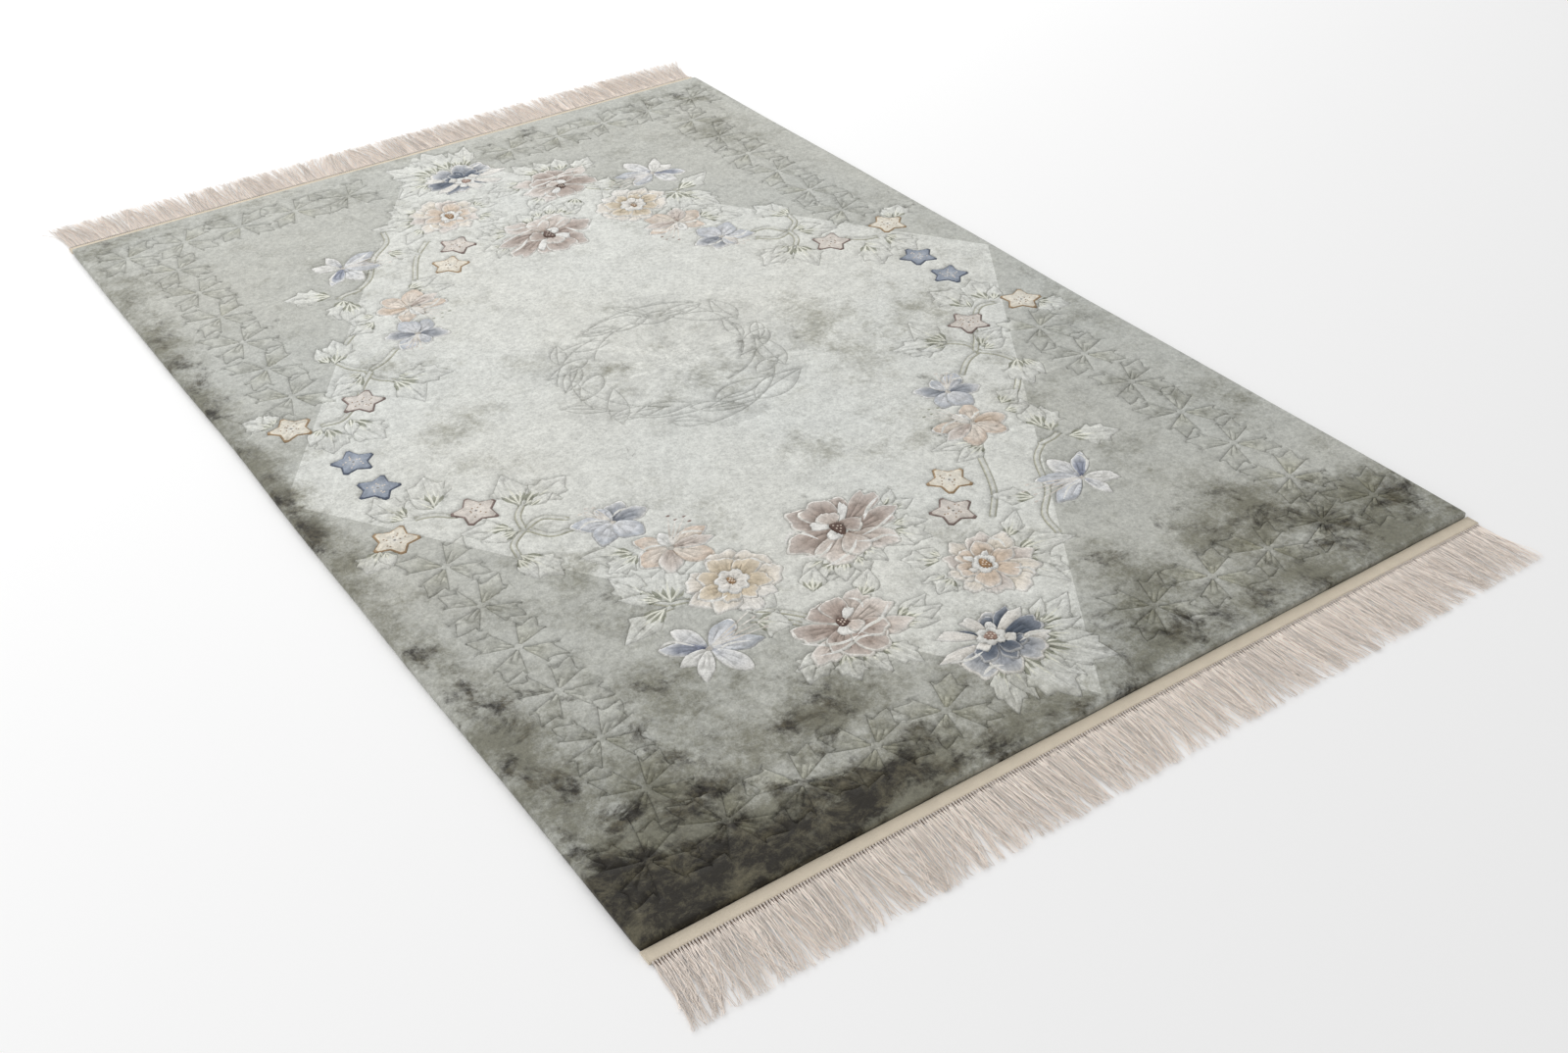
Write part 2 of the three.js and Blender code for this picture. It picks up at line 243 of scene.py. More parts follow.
def leafBlade(start, end, width, bend, lobes, seed):
    start, end = np.array(start, float), np.array(end, float)
    along = end - start
    length = np.linalg.norm(along)
    along /= length
    across = np.array([-along[1], along[0]])
    rng = random.Random(seed)

    def place(t, w):
        aside = bend * length * math.sin(math.pi * min(t, 1)) + w * width / 2
        return start + along * t * length + across * aside

    profile = {  # how far along, and how wide: narrow at the stalk, pointed lobes, one tip
        0: ((0.14, 0.3), (0.3, 0.78), (0.42, 0.94), (0.62, 0.7), (0.82, 0.32)),
        1: ((0.14, 0.26), (0.34, 0.74), (0.5, 1.06), (0.56, 0.78), (0.78, 0.42)),
        2: ((0.14, 0.26), (0.34, 0.7), (0.46, 1.1), (0.52, 0.8), (0.72, 0.9), (0.74, 0.54), (0.9, 0.22)),
    }[lobes]
    sides = []
    for way in (-1, 1):
        sides.append([place(t + rng.uniform(-0.015, 0.015), way * w * rng.uniform(0.9, 1.06))
                      for t, w in profile])
    outline = np.array([place(0, 0), *sides[0], place(1, 0), *sides[1][::-1]])
    parts = [motif(bulged(outline, 0.035), "leaf", "along", start, length, seed, axis=along,
                   width=width / 2)]
    if width > 15:  # dark hollows between the light veins, near the stalk
        hollows = [((0.06, 0.07), (0.2, 0.17), (0.38, 0.17)), ((0.1, 0.26), (0.22, 0.44), (0.36, 0.6))]
        for way in (-1, 1):
            for hollow in hollows[:2 if width > 26 else 1]:
                r, first = rng.uniform(0.7, 1.2), hollow[0][0]
                line = [place(first + (t - first) * r, w * way) for t, w in hollow]
                thick = min(5.4, width * rng.uniform(0.09, 0.14))
                parts.append(uncut(lip("leafShade", line, thick, seed, 4)))
    veins = [[(0.0, 0.0), (0.3, 0.0), (0.56, 0.0)]]
    if width > 24:
        for way in (-1, 1):
            veins.append([(0.06, 0.02 * way), (0.22, 0.28 * way), (0.42, 0.46 * way)])
    for vein in veins:
        line = [place(t, w) for t, w in vein]
        parts.append(uncut(lip("vein", line, 2.4 if width > 24 else 1.8, seed, 4)))
    if width > 30:
        tipVein = ((0.56, 0.02), (0.68, 0.08), (0.82, 0.06))
        parts[0]["lines"] = [np.array([place(t, w) for t, w in tipVein])]
    return parts


def lip(tone, points, width, seed, steps):  # a curled edge or a vein, thin at both ends
    line = smoothLine(points, steps)
    side = sideways(line, False)
    share = np.linspace(0, 1, len(line))
    half = (width / 2 * (4 * share * (1 - share)) ** 0.6 + 0.35)[:, None]
    reach = np.linalg.norm(line[-1] - line[0]) / 2 + 1
    outline = np.vstack([line - side * half, (line + side * half)[::-1]])
    return motif(outline, tone, "round", line[len(line) // 2], reach, seed)


def rimmed(tone, angle, reach, spread, rim, base, tip, ruffle, seed, width, veins, point):
    inside = spread * (1 - 0.5 * width / (reach * math.radians(spread)))
    return [fanPetal(rim, angle, reach, spread, tip, ruffle, base, seed, 0, point),
            uncut(fanPetal(tone, angle, reach - width, inside, tip, ruffle, base, seed, veins, point))]


def cup(at, radius, scallops, tone, seed):  # the ring of small petals round the heart
    a = np.linspace(0, 2 * np.pi, 12 * scallops, endpoint=False)
    r = radius * (0.74 + 0.28 * np.abs(np.sin(scallops * a / 2 + seed)) ** 0.7)
    r = r * (1 + 0.08 * np.sin(2 * a + 3 * seed))
    ring = np.column_stack([np.cos(a) * r, np.sin(a) * r])
    lines, far = [], np.array([[0.45], [0.6], [0.74]]) * radius
    for k in range(scallops):
        way = 2 * (math.pi * k - seed) / scallops
        lines.append(np.array(at) + far * np.array([math.cos(way), math.sin(way)]))
    return [motif(ring + np.array(at), "white", "round", at, radius, seed),
            motif(ring * 0.86 + np.array(at), tone, "round", at, radius, seed, lines=lines, cut=False)]


def starShape(tone, radius, seed, waist=0.62, rounding=0.09):  # five blunt points
    made = []
    for i in range(10):
        a = i * math.pi / 5
        if i % 2:
            made.append((math.cos(a) * radius * waist, math.sin(a) * radius * waist))
        else:
            for off in (-rounding, rounding):
                made.append((math.cos(a + off) * radius * 0.98, math.sin(a + off) * radius * 0.98))
    return motif(np.array(made), tone, "round", (0, 0), radius, seed)


def disc(tone, at, rx, ry, seed=0, count=12, cut=True):
    a = np.linspace(0, 2 * np.pi, count, endpoint=False)
    wobble = 1 + 0.12 * np.sin(3 * a + seed)
    outline = np.column_stack([at[0] + rx * wobble * np.cos(a), at[1] + ry * wobble * np.sin(a)])
    return motif(outline, tone, "round", at, max(rx, ry), seed, cut=cut)


def inDiamond(points):
    half = pileSettings["diamondX"], pileSettings["diamondY"]
    return (np.abs(points) / half).sum(1) < 1


def settled(at):  # where the pattern's points really lie on this rug
    p = pileSettings
    high = (p["rise"] + p["skew"] * at[0]) * (1 - (2 * at[1] / p["length"]) ** 2)
    return np.array([at[0], at[1] + high])


def plant(parts, at=(0, 0), turn=0, both=True, layer=0, answer=1.0, swell=1.0):
    p = pileSettings
    for sign in ((1, -1) if both else (1,)):  # the garland has half-turn symmetry
        matrix = turnMatrix(turn) * sign
        offset = settled(np.array(at, float) * sign)
        for part in parts:
            step = p["outlineStep" if part["cut"] else "uncutStep"]
            outline = evenly(part["outline"] @ matrix.T + offset, step)
            after = np.roll(outline, -1, 0)
            if (outline[:, 0] * after[:, 1] - outline[:, 1] * after[:, 0]).sum() < 0:
                outline = outline[::-1]  # every outline runs anticlockwise
            lines = [evenly(line @ matrix.T + offset, p["lineStep"], False) for line in part["lines"]]
            shapes.append({**part, "matrix": matrix, "offset": offset, "outline": outline, "lines": lines,
                           "layer": layer, "answer": answer, "swell": swell * p["swell"],
                           "depth": p["cutGround" if part["kind"] == "ground" else "cutMotif"],
                           "seed": part["seed"] + (0.37 if sign < 0 else 0)})


# Peonies: petals from the back to the front, curled lips, and the heart

peonies = [  # a petal is tone, angle, reach, half spread, foot; a lip is its points and width
    {"at": (-48, -466), "seed": 1, "heart": ("heartBrown", (-2, -3), 9, 14),
     "petals": [("rose", 62, 64, 26, (-4, -4)), ("rose", 126, 64, 28, (0, 0)), ("rose", 94, 60, 30, (0, 0)),
                ("rose", 30, 88, 13, (0, -8)), ("white", 52, 62, 8, (0, -6)),
                ("rose", 7, 82, 15, (-4, -20)), ("rose", 187, 74, 25, (0, -4)),
                ("rosePale", 224, 68, 26, (0, -10)), ("rosePale", 312, 62, 26, (0, -18)),
                ("rosePale", 262, 46, 30, (0, -16)), ("white", 140, 32, 24, (-6, 2)),
                ("rosePale", 92, 27, 44, (0, 6)), ("rose", 318, 34, 30, (2, 8)),
                ("white", 232, 28, 32, (-4, 0))],
     "lips": [([(-76, -26), (-50, -37), (-26, -24)], 5), ([(-74, 8), (-58, 22), (-44, 12), (-36, -8)], 6),
              ([(12, -34), (42, -30), (78, -16)], 5), ([(34, -8), (54, 10), (78, 22)], 6),
              ([(-60, -60), (-38, -58), (-14, -50), (2, -36)], 6),
              ([(0, -40), (18, -50), (36, -50), (50, -66)], 6)]},
    {"at": (-216, -480), "seed": 2, "heart": ("heartGold", (0, 2), 5, 8),
     "petals": [("goldPale", 72, 62, 25, (0, 0)), ("goldPale", 26, 64, 26, (0, 0)),
                ("goldPale", 150, 56, 25, (0, 0)), ("goldPale", 342, 62, 24, (0, 0)),
                ("goldPale", 196, 62, 22, (0, 0)), ("cream", 262, 70, 20, (0, 0)),
                ("cream", 300, 60, 22, (0, 0)), ("goldPale", 228, 58, 22, (0, 0)),
                ("gold", 80, 50, 26, (0, 0)), ("gold", 28, 50, 24, (0, 0)), ("gold", 136, 42, 24, (0, 0)),
                ("gold", 188, 48, 22, (0, 0)), ("gold", 332, 46, 22, (0, 0)), ("gold", 284, 40, 22, (0, 0)),
                ("gold", 236, 40, 20, (0, 0))],
     "cup": ((0, 0), 24, 7, "cream"),
     "lips": [([(-50, -14), (-34, -22), (-20, -20)], 4), ([(40, 30), (50, 12), (54, -6)], 5)]},
    {"at": (-155, -622), "seed": 3, "heart": ("heartBrown", (0, 2), 8, 9),
     "petals": [("rosePale", 38, 64, 18, (0, -4)), ("rose", 112, 46, 28, (0, 0)),
                ("rose", 76, 46, 26, (0, 0)), ("rosePale", 12, 66, 18, (0, -8)),
                ("rose", 160, 64, 18, (0, -10)), ("rosePale", 206, 70, 17, (0, -12)),
                ("rosePale", 335, 68, 17, (0, -16)), ("rose", 250, 56, 28, (0, -8)),
                ("rose", 288, 56, 28, (0, -8)), ("rose", 222, 48, 22, (0, -4)),
                ("rose", 318, 50, 24, (0, -4)), ("white", 40, 30, 18, (2, 2)),
                ("white", 252, 24, 46, (0, -2)), ("rosePale", 300, 24, 34, (2, 0))],
     "lips": [([(-62, -4), (-46, -18), (-24, -30), (0, -30)], 6),
              ([(0, -28), (20, -22), (40, -20), (64, -2)], 6),
              ([(-58, -34), (-30, -40), (0, -34), (22, -42)], 5), ([(30, 34), (40, 22), (34, 8)], 5)]},
    {"at": (50, -636), "seed": 4, "heart": ("heartGold", (0, 4), 7, 11),
     "petals": [("goldPale", 98, 56, 20, (0, 0)), ("rosePale", 62, 62, 20, (0, 0)),
                ("goldPale", 30, 66, 18, (0, 0)), ("rosePale", 352, 60, 20, (0, 0)),
                ("goldPale", 318, 62, 20, (0, 0)), ("goldPale", 284, 64, 20, (0, 0)),
                ("rosePale", 250, 56, 22, (0, 0)), ("goldPale", 214, 54, 22, (0, 0)),
                ("goldPale", 176, 48, 24, (0, 0)), ("rosePale", 136, 50, 22, (0, 0)),
                ("apricot", 112, 40, 22, (0, 2)), ("apricot", 60, 44, 24, (0, 2)),
                ("apricot", 6, 42, 22, (0, 2)), ("apricot", 306, 44, 22, (0, 2)),
                ("apricot", 236, 44, 26, (0, 2)), ("apricot", 170, 38, 26, (0, 2)),
                ("white", 118, 30, 15, (0, 4)), ("white", 52, 28, 15, (0, 4)),
                ("cream", 186, 28, 16, (0, 4))],
     "cup": ((0, 4), 18, 5, "white"),
     "lips": [([(34, 42), (44, 30), (40, 14)], 5), ([(22, -24), (36, -34), (36, -50)], 5)]},
    {"at": (-33, -744), "seed": 5, "heart": ("heartRose", (0, 4), 8, 8),
     "petals": [("blue", 62, 42, 26, (4, 0)), ("blueDeep", 96, 30, 26, (14, 4)),
                ("cream", 106, 52, 14, (4, 0)), ("blueDeep", 36, 50, 18, (6, 0)),
                ("blueDeep", 132, 38, 16, (-4, 0)), ("cream", 140, 62, 12, (-6, 2)),
                ("cream", 24, 68, 11, (0, -2)), ("blueDeep", 0, 60, 18, (4, -6)),
                ("blue", 186, 60, 20, (-4, -6)), ("cream", 176, 78, 9, (-2, -6)),
                ("blue", 208, 66, 22, (0, -8)), ("cream", 338, 62, 12, (6, -12)),
                ("blue", 308, 56, 24, (0, -10)), ("blue", 246, 54, 26, (0, -10)),
                ("blueDeep", 210, 40, 24, (0, -4)), ("blueDeep", 268, 34, 22, (0, -8)),
                ("blueDeep", 326, 36, 20, (0, -4)), ("blueDeep", 290, 30, 26, (0, -6)),
                ("cream", 205, 32, 20, (0, 2)), ("white", 60, 28, 20, (2, 2)),
                ("cream", 320, 30, 20, (2, 2))],
     "cup": ((0, 3), 18, 6, "white"),
     "lips": [([(-70, -8), (-46, -16), (-26, -14)], 5), ([(-52, -46), (-36, -40), (-22, -46)], 6),
              ([(20, -24), (44, -22), (62, -30)], 5)]},
]


def makePeony(p):
    parts = []
    for i, (tone, angle, reach, spread, foot) in enumerate(p["petals"]):
        seed = p["seed"] * 40 + i
        if tone in ("white", "cream"):
            size = (angle, reach * 0.92, spread * 1.45)
            parts += rimmed(tone, *size, "white", foot, 2.6, 0.06, seed, 2, 0, 0)
        else:
            size, rim = (angle, reach, spread * 1.5), "blue" if tone == "blueDeep" else "cream"
            width, veins = 2.6 if reach < 50 else 3.4, 2 * (reach > 46)
            parts += rimmed(tone, *size, rim, foot, 3.4, 0.06, seed, width, veins, 0.05)
    for i, (points, width) in enumerate(p["lips"]):
        parts.append(uncut(lip("white", points, width * 0.72, p["seed"] * 40 + 30 + i, 5)))
    if "cup" in p:
        parts += cup(*p["cup"], p["seed"])
    tone, at, rx, ry = p["heart"]
    parts.append(disc(tone, at, rx, ry, seed=p["seed"]))
    for i in range(6):
        a, share = 1.1 * i + p["seed"], 0.3 + 0.3 * (i % 2)
        bead = (at[0] + math.cos(a) * rx * share, at[1] + math.sin(a) * ry * share)
        parts.append(disc("bead", bead, 1.3, 1.3, 0, 5, cut=False))
    plant(parts, p["at"], layer=60, answer=0.35)


# Five-petalled blooms and lilies

blooms = [  # a petal is tone, rim, angle, reach, half spread
    {"at": (-240, -378), "seed": 1, "tip": 1.7, "stamens": (48, 66), "dots": "roseDeep",
     "petals": [("peach", "cream", 130, 44, 24), ("peach", "white", 15, 54, 18),
                ("white", "white", 80, 30, 24), ("peach", "cream", 195, 48, 26),
                ("rosePale", "cream", 240, 46, 24), ("peach", "apricot", 305, 52, 24),
                ("rosePale", "white", 350, 50, 16)],
     "lips": [([(-44, 4), (-24, 16), (-4, 8)], 4), ([(12, 16), (34, 16), (52, 2)], 4)]},
    {"at": (-270, -288), "seed": 2, "tip": 1.8, "stamens": (112, 46), "dots": "mauveStar",
     "petals": [("bluePale", "white", 160, 46, 26), ("blue", "white", 52, 40, 28),
                ("bluePale", "white", 95, 34, 20), ("blue", "white", 2, 46, 22),
                ("bluePale", "blue", 222, 44, 28), ("bluePale", "blue", 288, 44, 30)],
     "lips": [([(-44, 8), (-26, 16), (-8, 8)], 4), ([(4, 10), (20, 16), (34, 12)], 4)]},
    {"at": (238, -384), "seed": 3, "tip": 1.7, "stamens": (118, 66), "dots": "leafShade",
     "petals": [("peach", "cream", 60, 44, 24), ("peach", "white", 165, 54, 18),
                ("white", "white", 105, 30, 24), ("apricot", "cream", 345, 46, 26),
                ("peach", "cream", 300, 46, 24), ("peach", "apricot", 235, 50, 24),
                ("rosePale", "white", 196, 50, 16)],
     "lips": [([(44, 4), (24, 16), (4, 8)], 4), ([(-12, 16), (-34, 16), (-52, 2)], 4)]},
    {"at": (262, -302), "seed": 4, "tip": 1.8, "stamens": (58, 48), "dots": "mauveStar",
     "petals": [("bluePale", "white", 40, 46, 22), ("blue", "white", 150, 42, 26),
                ("bluePale", "white", 95, 34, 20), ("blue", "white", 340, 44, 22),
                ("bluePale", "blue", 222, 40, 26), ("bluePale", "blue", 274, 42, 30)],
     "lips": [([(10, 12), (30, 20), (46, 8)], 4)]},
    {"at": (-306, -568), "seed": 5, "tip": 1.55, "stamens": (8, 84), "dots": "mauveStar",
     "petals": [("lily", "white", 108, 50, 18), ("lilyBlue", "white", 150, 52, 17),
                ("bluePale", "white", 30, 52, 20), ("white", "white", 196, 40, 20),
                ("bluePale", "blue", 340, 58, 16), ("white", "white", 232, 50, 15),
                ("lily", "white", 290, 58, 17)],
     "lips": [([(-46, 32), (-30, 34), (-12, 12)], 4), ([(4, -10), (24, -8), (46, -18)], 3)]},
    {"at": (268, -566), "seed": 6, "tip": 1.55, "stamens": (172, 84), "dots": "mauveStar",
     "petals": [("lily", "white", 100, 50, 22), ("lilyBlue", "white", 52, 52, 16),
                ("bluePale", "white", 152, 52, 20), ("white", "white", 330, 44, 20),
                ("bluePale", "blue", 204, 60, 16), ("lily", "white", 282, 44, 15)],
     "lips": [([(30, 44), (34, 28), (14, 8)], 4), ([(-8, -6), (-28, -8), (-52, -24)], 3)]},
]


def makeBloom(b):
    parts = []
    for i, (tone, rim, angle, reach, spread) in enumerate(b["petals"]):
        size, seed = (angle, reach, spread * 1.75), 300 + b["seed"] * 10 + i
        parts += rimmed(tone, *size, rim, (0, 0), b["tip"] + 0.3, 0.03, seed, 2.4, 2, 0.16)
    for i, (points, width) in enumerate(b["lips"]):
        parts.append(uncut(lip("white", points, width * 0.8, 380 + b["seed"] * 5 + i, 5)))
    parts.append(disc("cream", (0, 0), 4.5, 4.5, seed=b["seed"]))
    angle, reach = b["stamens"]
    for i in range(4):
        way = math.radians(angle + (i - 1.5) * 9)
        far = reach * (0.88 + 0.12 * (i % 2))
        line = [np.array([math.cos(way), math.sin(way)]) * r for r in (5, far * 0.5, far)]
        parts.append(uncut(lip("cream", line, 1.8, 390 + i, 3)))
        parts.append(disc(b["dots"], line[-1], 3.4, 2.0, seed=i, count=6, cut=False))
    plant(parts, b["at"], layer=55, answer=0.4)


# Star flowers

stars = [
    {"at": (127, -470), "size": 32, "tone": "gold", "turn": 92},
    {"at": (88, -526), "size": 32, "tone": "mauve", "turn": 82},
    {"at": (-399, -162), "size": 33, "tone": "mauve", "turn": 88},
    {"at": (-510, -158), "size": 33, "tone": "gold", "turn": 50},
    {"at": (-479, -38), "size": 31, "tone": "blue", "turn": 270},
    {"at": (408, -172), "size": 33, "tone": "mauve", "turn": 90},
    {"at": (516, -166), "size": 33, "tone": "gold", "turn": 272},
    {"at": (480, -38), "size": 31, "tone": "blue", "turn": 262},
]


def makeStar(s, k):
    rng = random.Random(40 + k)
    outer = starShape(s["tone"] + "Rim", s["size"], k)
    inner = {**outer, "outline": outer["outline"] * 0.87, "tone": s["tone"] + "Star"}
    parts = [outer, uncut(inner), disc("eye", (0, 0), 2.0, 2.0, seed=k, count=7, cut=False)]
    for i in range(11):
        a, r = i * math.pi * 0.4 + 0.3 + rng.uniform(-0.3, 0.3), rng.choice((7, 10, 14))
        tone = "bead" if s["tone"] == "blue" else "speck"
        parts.append(disc(tone, (math.cos(a) * r, math.sin(a) * r), 1.4, 1.4, 0, 5, cut=False))
    plant(parts, s["at"], s["turn"], layer=50, answer=0.5, swell=0.3)


# Leaves and twin-line stems

leaves = [  # from the stalk to the tip, the width, and the lobes
    ((-50, -784), (-94, -868), 34, 2), ((-44, -790), (-60, -862), 26, 0), ((-30, -792), (-20, -886), 54, 2),
    ((-6, -790), (10, -862), 34, 0), ((2, -786), (62, -856), 56, 2), ((18, -776), (64, -812), 26, 0),
    ((24, -762), (92, -736), 36, 1), ((26, -756), (60, -726), 20, 0), ((20, -770), (74, -780), 20, 0),
    ((-200, -650), (-250, -694), 38, 2), ((-196, -658), (-246, -666), 20, 0),
    ((-184, -672), (-198, -722), 34, 2), ((-166, -680), (-160, -730), 32, 1),
    ((-148, -680), (-122, -738), 34, 2), ((-100, -656), (-44, -640), 28, 0),
    ((-104, -662), (-42, -668), 32, 1), ((-104, -670), (-62, -690), 22, 0),
    ((-4, -626), (-36, -622), 20, 0), ((0, -636), (-34, -650), 30, 1), ((10, -600), (-28, -570), 34, 2),
    ((96, -640), (176, -658), 36, 1), ((94, -650), (126, -704), 44, 2), ((84, -660), (110, -724), 26, 0),
    ((104, -612), (152, -572), 26, 1), ((16, -594), (-2, -566), 22, 0), ((24, -466), (54, -442), 20, 0),
    ((28, -476), (64, -476), 22, 0), ((8, -506), (50, -524), 26, 1), ((0, -514), (34, -556), 34, 2),
    ((-14, -522), (6, -556), 24, 0), ((-96, -526), (-132, -552), 34, 1), ((-84, -530), (-106, -566), 26, 0),
    ((-66, -532), (-76, -570), 26, 1), ((-46, -520), (-40, -562), 28, 1),
    ((-104, -516), (-144, -526), 20, 0), ((-308, -462), (-334, -392), 46, 2),
    ((-298, -478), (-264, -412), 56, 2), ((-304, -468), (-346, -436), 24, 0),
    ((-306, -482), (-382, -514), 38, 1), ((-282, -366), (-340, -336), 40, 1),
    ((-280, -372), (-330, -384), 34, 2), ((-262, -408), (-226, -424), 44, 0),
    ((-216, -524), (-200, -556), 44, 1), ((-236, -566), (-204, -596), 46, 1),
    ((222, -424), (150, -404), 34, 1), ((216, -432), (160, -446), 30, 0), ((226, -418), (184, -380), 26, 0),
    ((310, -462), (340, -404), 46, 2), ((306, -448), (330, -372), 40, 0), ((318, -482), (386, -512), 42, 2),
    ((300, -368), (346, -352), 30, 1), ((292, -384), (330, -392), 26, 0), ((190, -566), (146, -528), 34, 1),
    ((-150, -560), (-120, -520), 34, 0), ((-110, -600), (-70, -560), 34, 0),
]
sideLeaves = [  # the same on both long sides
    ((-398, -286), (-372, -354), 44, 2), ((-404, -292), (-402, -344), 24, 0),
    ((-348, -192), (-336, -114), 44, 1), ((-344, -194), (-268, -166), 46, 2),
    ((-338, -200), (-300, -190), 20, 0), ((-378, -232), (-438, -204), 40, 1),
    ((-376, -240), (-424, -232), 26, 0), ((-438, -130), (-420, -58), 50, 2),
    ((-440, -134), (-456, -92), 20, 0), ((-476, -130), (-494, -66), 46, 2),
    ((-482, -134), (-512, -100), 24, 0), ((-534, -176), (-566, -212), 42, 2),
    ((-530, -182), (-534, -214), 24, 0),
]
stems = [  # points that the stem follows
    [(-366, -240), (-338, -232), (-312, -254)], [(-364, -244), (-346, -272), (-318, -276)],
    [(-370, -242), (-394, -262), (-400, -290)], [(-368, -238), (-362, -212), (-346, -192)],
    [(-470, -138), (-446, -146), (-424, -166)], [(-226, -546), (-200, -570), (-176, -600)],
    [(290, -470), (250, -500), (216, -560), (176, -600), (164, -640)],
    [(316, -468), (300, -474), (276, -476)], [(-316, -462), (-300, -478), (-276, -486)],
    [(-300, -484), (-330, -486), (-350, -492)], [(366, -240), (338, -250), (306, -276)],
    [(364, -238), (384, -262), (394, -290)], [(368, -240), (366, -214), (346, -192)],
    [(424, -160), (452, -138), (480, -142)], [(364, -236), (390, -206), (404, -184)],
    [(-196, -600), (-214, -578), (-240, -560)], [(390, -300), (350, -344), (316, -370)],
    [(200, -440), (160, -520), (120, -566)],
]


def makeLeaves():
    rng = random.Random(7)
    table = list(leaves)
    for a, b, w, lobes in sideLeaves:
        table += [(a, b, w, lobes), ((-a[0], a[1]), (-b[0], b[1]), w, lobes)]
    for k, (a, b, w, lobes) in enumerate(table):
        blade = leafBlade(a, b, w * 1.14, rng.uniform(-0.08, 0.08), lobes, 700 + k)
        plant(blade, layer=30, answer=0.6, swell=0.7)


def makeStems():
    for k, points in enumerate(stems):
        line = smoothLine(points)
        side = sideways(line, False)
        for tone, half, cut in (("stemRim", 4.4, True), ("stem", 2.4, False)):
            outline = np.vstack([line - side * half, (line + side * half)[::-1]])
            stem = motif(outline, tone, "round", line[0], 60, 500 + k, cut=cut)
            plant([stem], layer=20, answer=0.6, swell=0)


# Tone-on-tone rosettes of the border

border = {"rowY": 810, "rowStart": 155, "rowCount": 5, "columnX": 482, "columnStart": 246, "columnCount": 6,
          "pitch": 95, "size": 45, "tints": (0.1, 0.15, 0.3), "nearTint": 0.2, "nearFrom": -700}
petalEdge = (  # degrees from the petal's middle, and share of its size
    (-15, 0.14), (-24, 1.08), (-19, 0.98), (-13, 1.02), (-6, 1.22), (0, 1.4),
    (7, 1.2), (13, 1.0), (18, 0.96), (24, 1.1), (15, 0.14))


def makeRosette(at, k):
    rng = random.Random(900 + k)
    parts, turned = [], rng.uniform(-5, 5)
    for i in range(4):
        base = 45 + 90 * i + turned + rng.uniform(-4, 4)
        r = border["size"] * rng.uniform(0.92, 1.05)
        made = []
        for a, share in petalEdge:
            way, share = math.radians(base + a), share * rng.uniform(0.96, 1.04)
            made.append((math.cos(way) * r * share, math.sin(way) * r * share))
        lines = []
        way = np.array([math.cos(math.radians(base)), math.sin(math.radians(base))])
        across = np.array([-way[1], way[0]])
        for off, far in ((-3.2, rng.uniform(0.45, 0.8)), (3.2, rng.uniform(0.45, 0.8))):
            lines.append(np.array([way * r * s + across * off * (0.6 + s) for s in (0.16, far / 2, far)]))
        tint = rng.choice(border["tints"]) + border["nearTint"] * (at[1] < border["nearFrom"])
        parts.append(motif(np.array(made), tint, "ground", (0, 0), r, 900 + 4 * k + i, lines=lines))
    plant(parts, at, both=False, layer=10, swell=0.25)


def makeBorder():
    b, k = border, 0
    for sx in (-1, 1):
        for sy in (-1, 1):
            for i in range(b["rowCount"]):
                makeRosette((sx * (b["rowStart"] + i * b["pitch"]), sy * b["rowY"]), k)
                k += 1
            for i in range(b["columnCount"]):
                makeRosette((sx * b["columnX"], sy * (b["columnStart"] + i * b["pitch"])), k)
                k += 1


# Tone-on-tone wreath in the middle

wreath = {
    "centre": (-4, 4), "radius": 200,
    "arcs": 10, "arcRadii": (118, 132, 150, 166), "arcDrift": (-16, -9, 10, 18),
    "leaves": 26, "leafRadii": (148, 128, 166, 140), "leans": (-0.85, -0.5, -0.25, 0.3, 0.6),
    "shortest": 54, "longest": 104,
}


def makeWreath():  # one round of carved lines: sweeping twigs, with long leaves laid along them
    w, rng = wreath, random.Random(78)
    lines = []
    for k in range(w["arcs"]):
        first, sweep = 360 * k / w["arcs"] + rng.uniform(-14, 14), rng.uniform(40, 80)
        a = np.radians(np.linspace(first, first + sweep, 12))
        r = rng.choice(w["arcRadii"]) + np.linspace(-1, 1, 12) * rng.choice(w["arcDrift"])
        lines.append(np.column_stack([np.cos(a) * r, np.sin(a) * r]))
    for k in range(w["leaves"]):
        a = math.radians(360 * k / w["leaves"] + rng.uniform(-4, 4))
        r = w["leafRadii"][k % 4] + rng.uniform(-6, 6)
        lean = a + math.pi / 2 + rng.choice(w["leans"]) + (math.pi if k % 5 == 0 else 0)
        half = rng.uniform(w["shortest"], w["longest"]) / 2
        c, way = np.array([math.cos(a) * r, math.sin(a) * r]), np.array([math.cos(lean), math.sin(lean)])
        across, wide = np.array([-way[1], way[0]]), half * rng.uniform(0.26, 0.46)
        t = np.linspace(0, 1, 9)
        for side in ((-1, 1) if k % 2 else (-1, 0.15, 1)):
            bow = side * wide * np.sin(np.pi * t ** 0.8)
            lines.append(c + (2 * t[:, None] - 1) * half * way + bow[:, None] * across)
    a = np.linspace(0, 2 * np.pi, 120, endpoint=False)
    inside = [line for line in lines if (np.linalg.norm(line, axis=1) < w["radius"] - 3).all()]
    ring = np.column_stack([np.cos(a), np.sin(a)]) * w["radius"]
    ground = motif(ring, 0, "ground", (0, 0), 60, 600, lines=inside, cut=False)
    plant([ground], w["centre"], both=False, layer=12, swell=0)


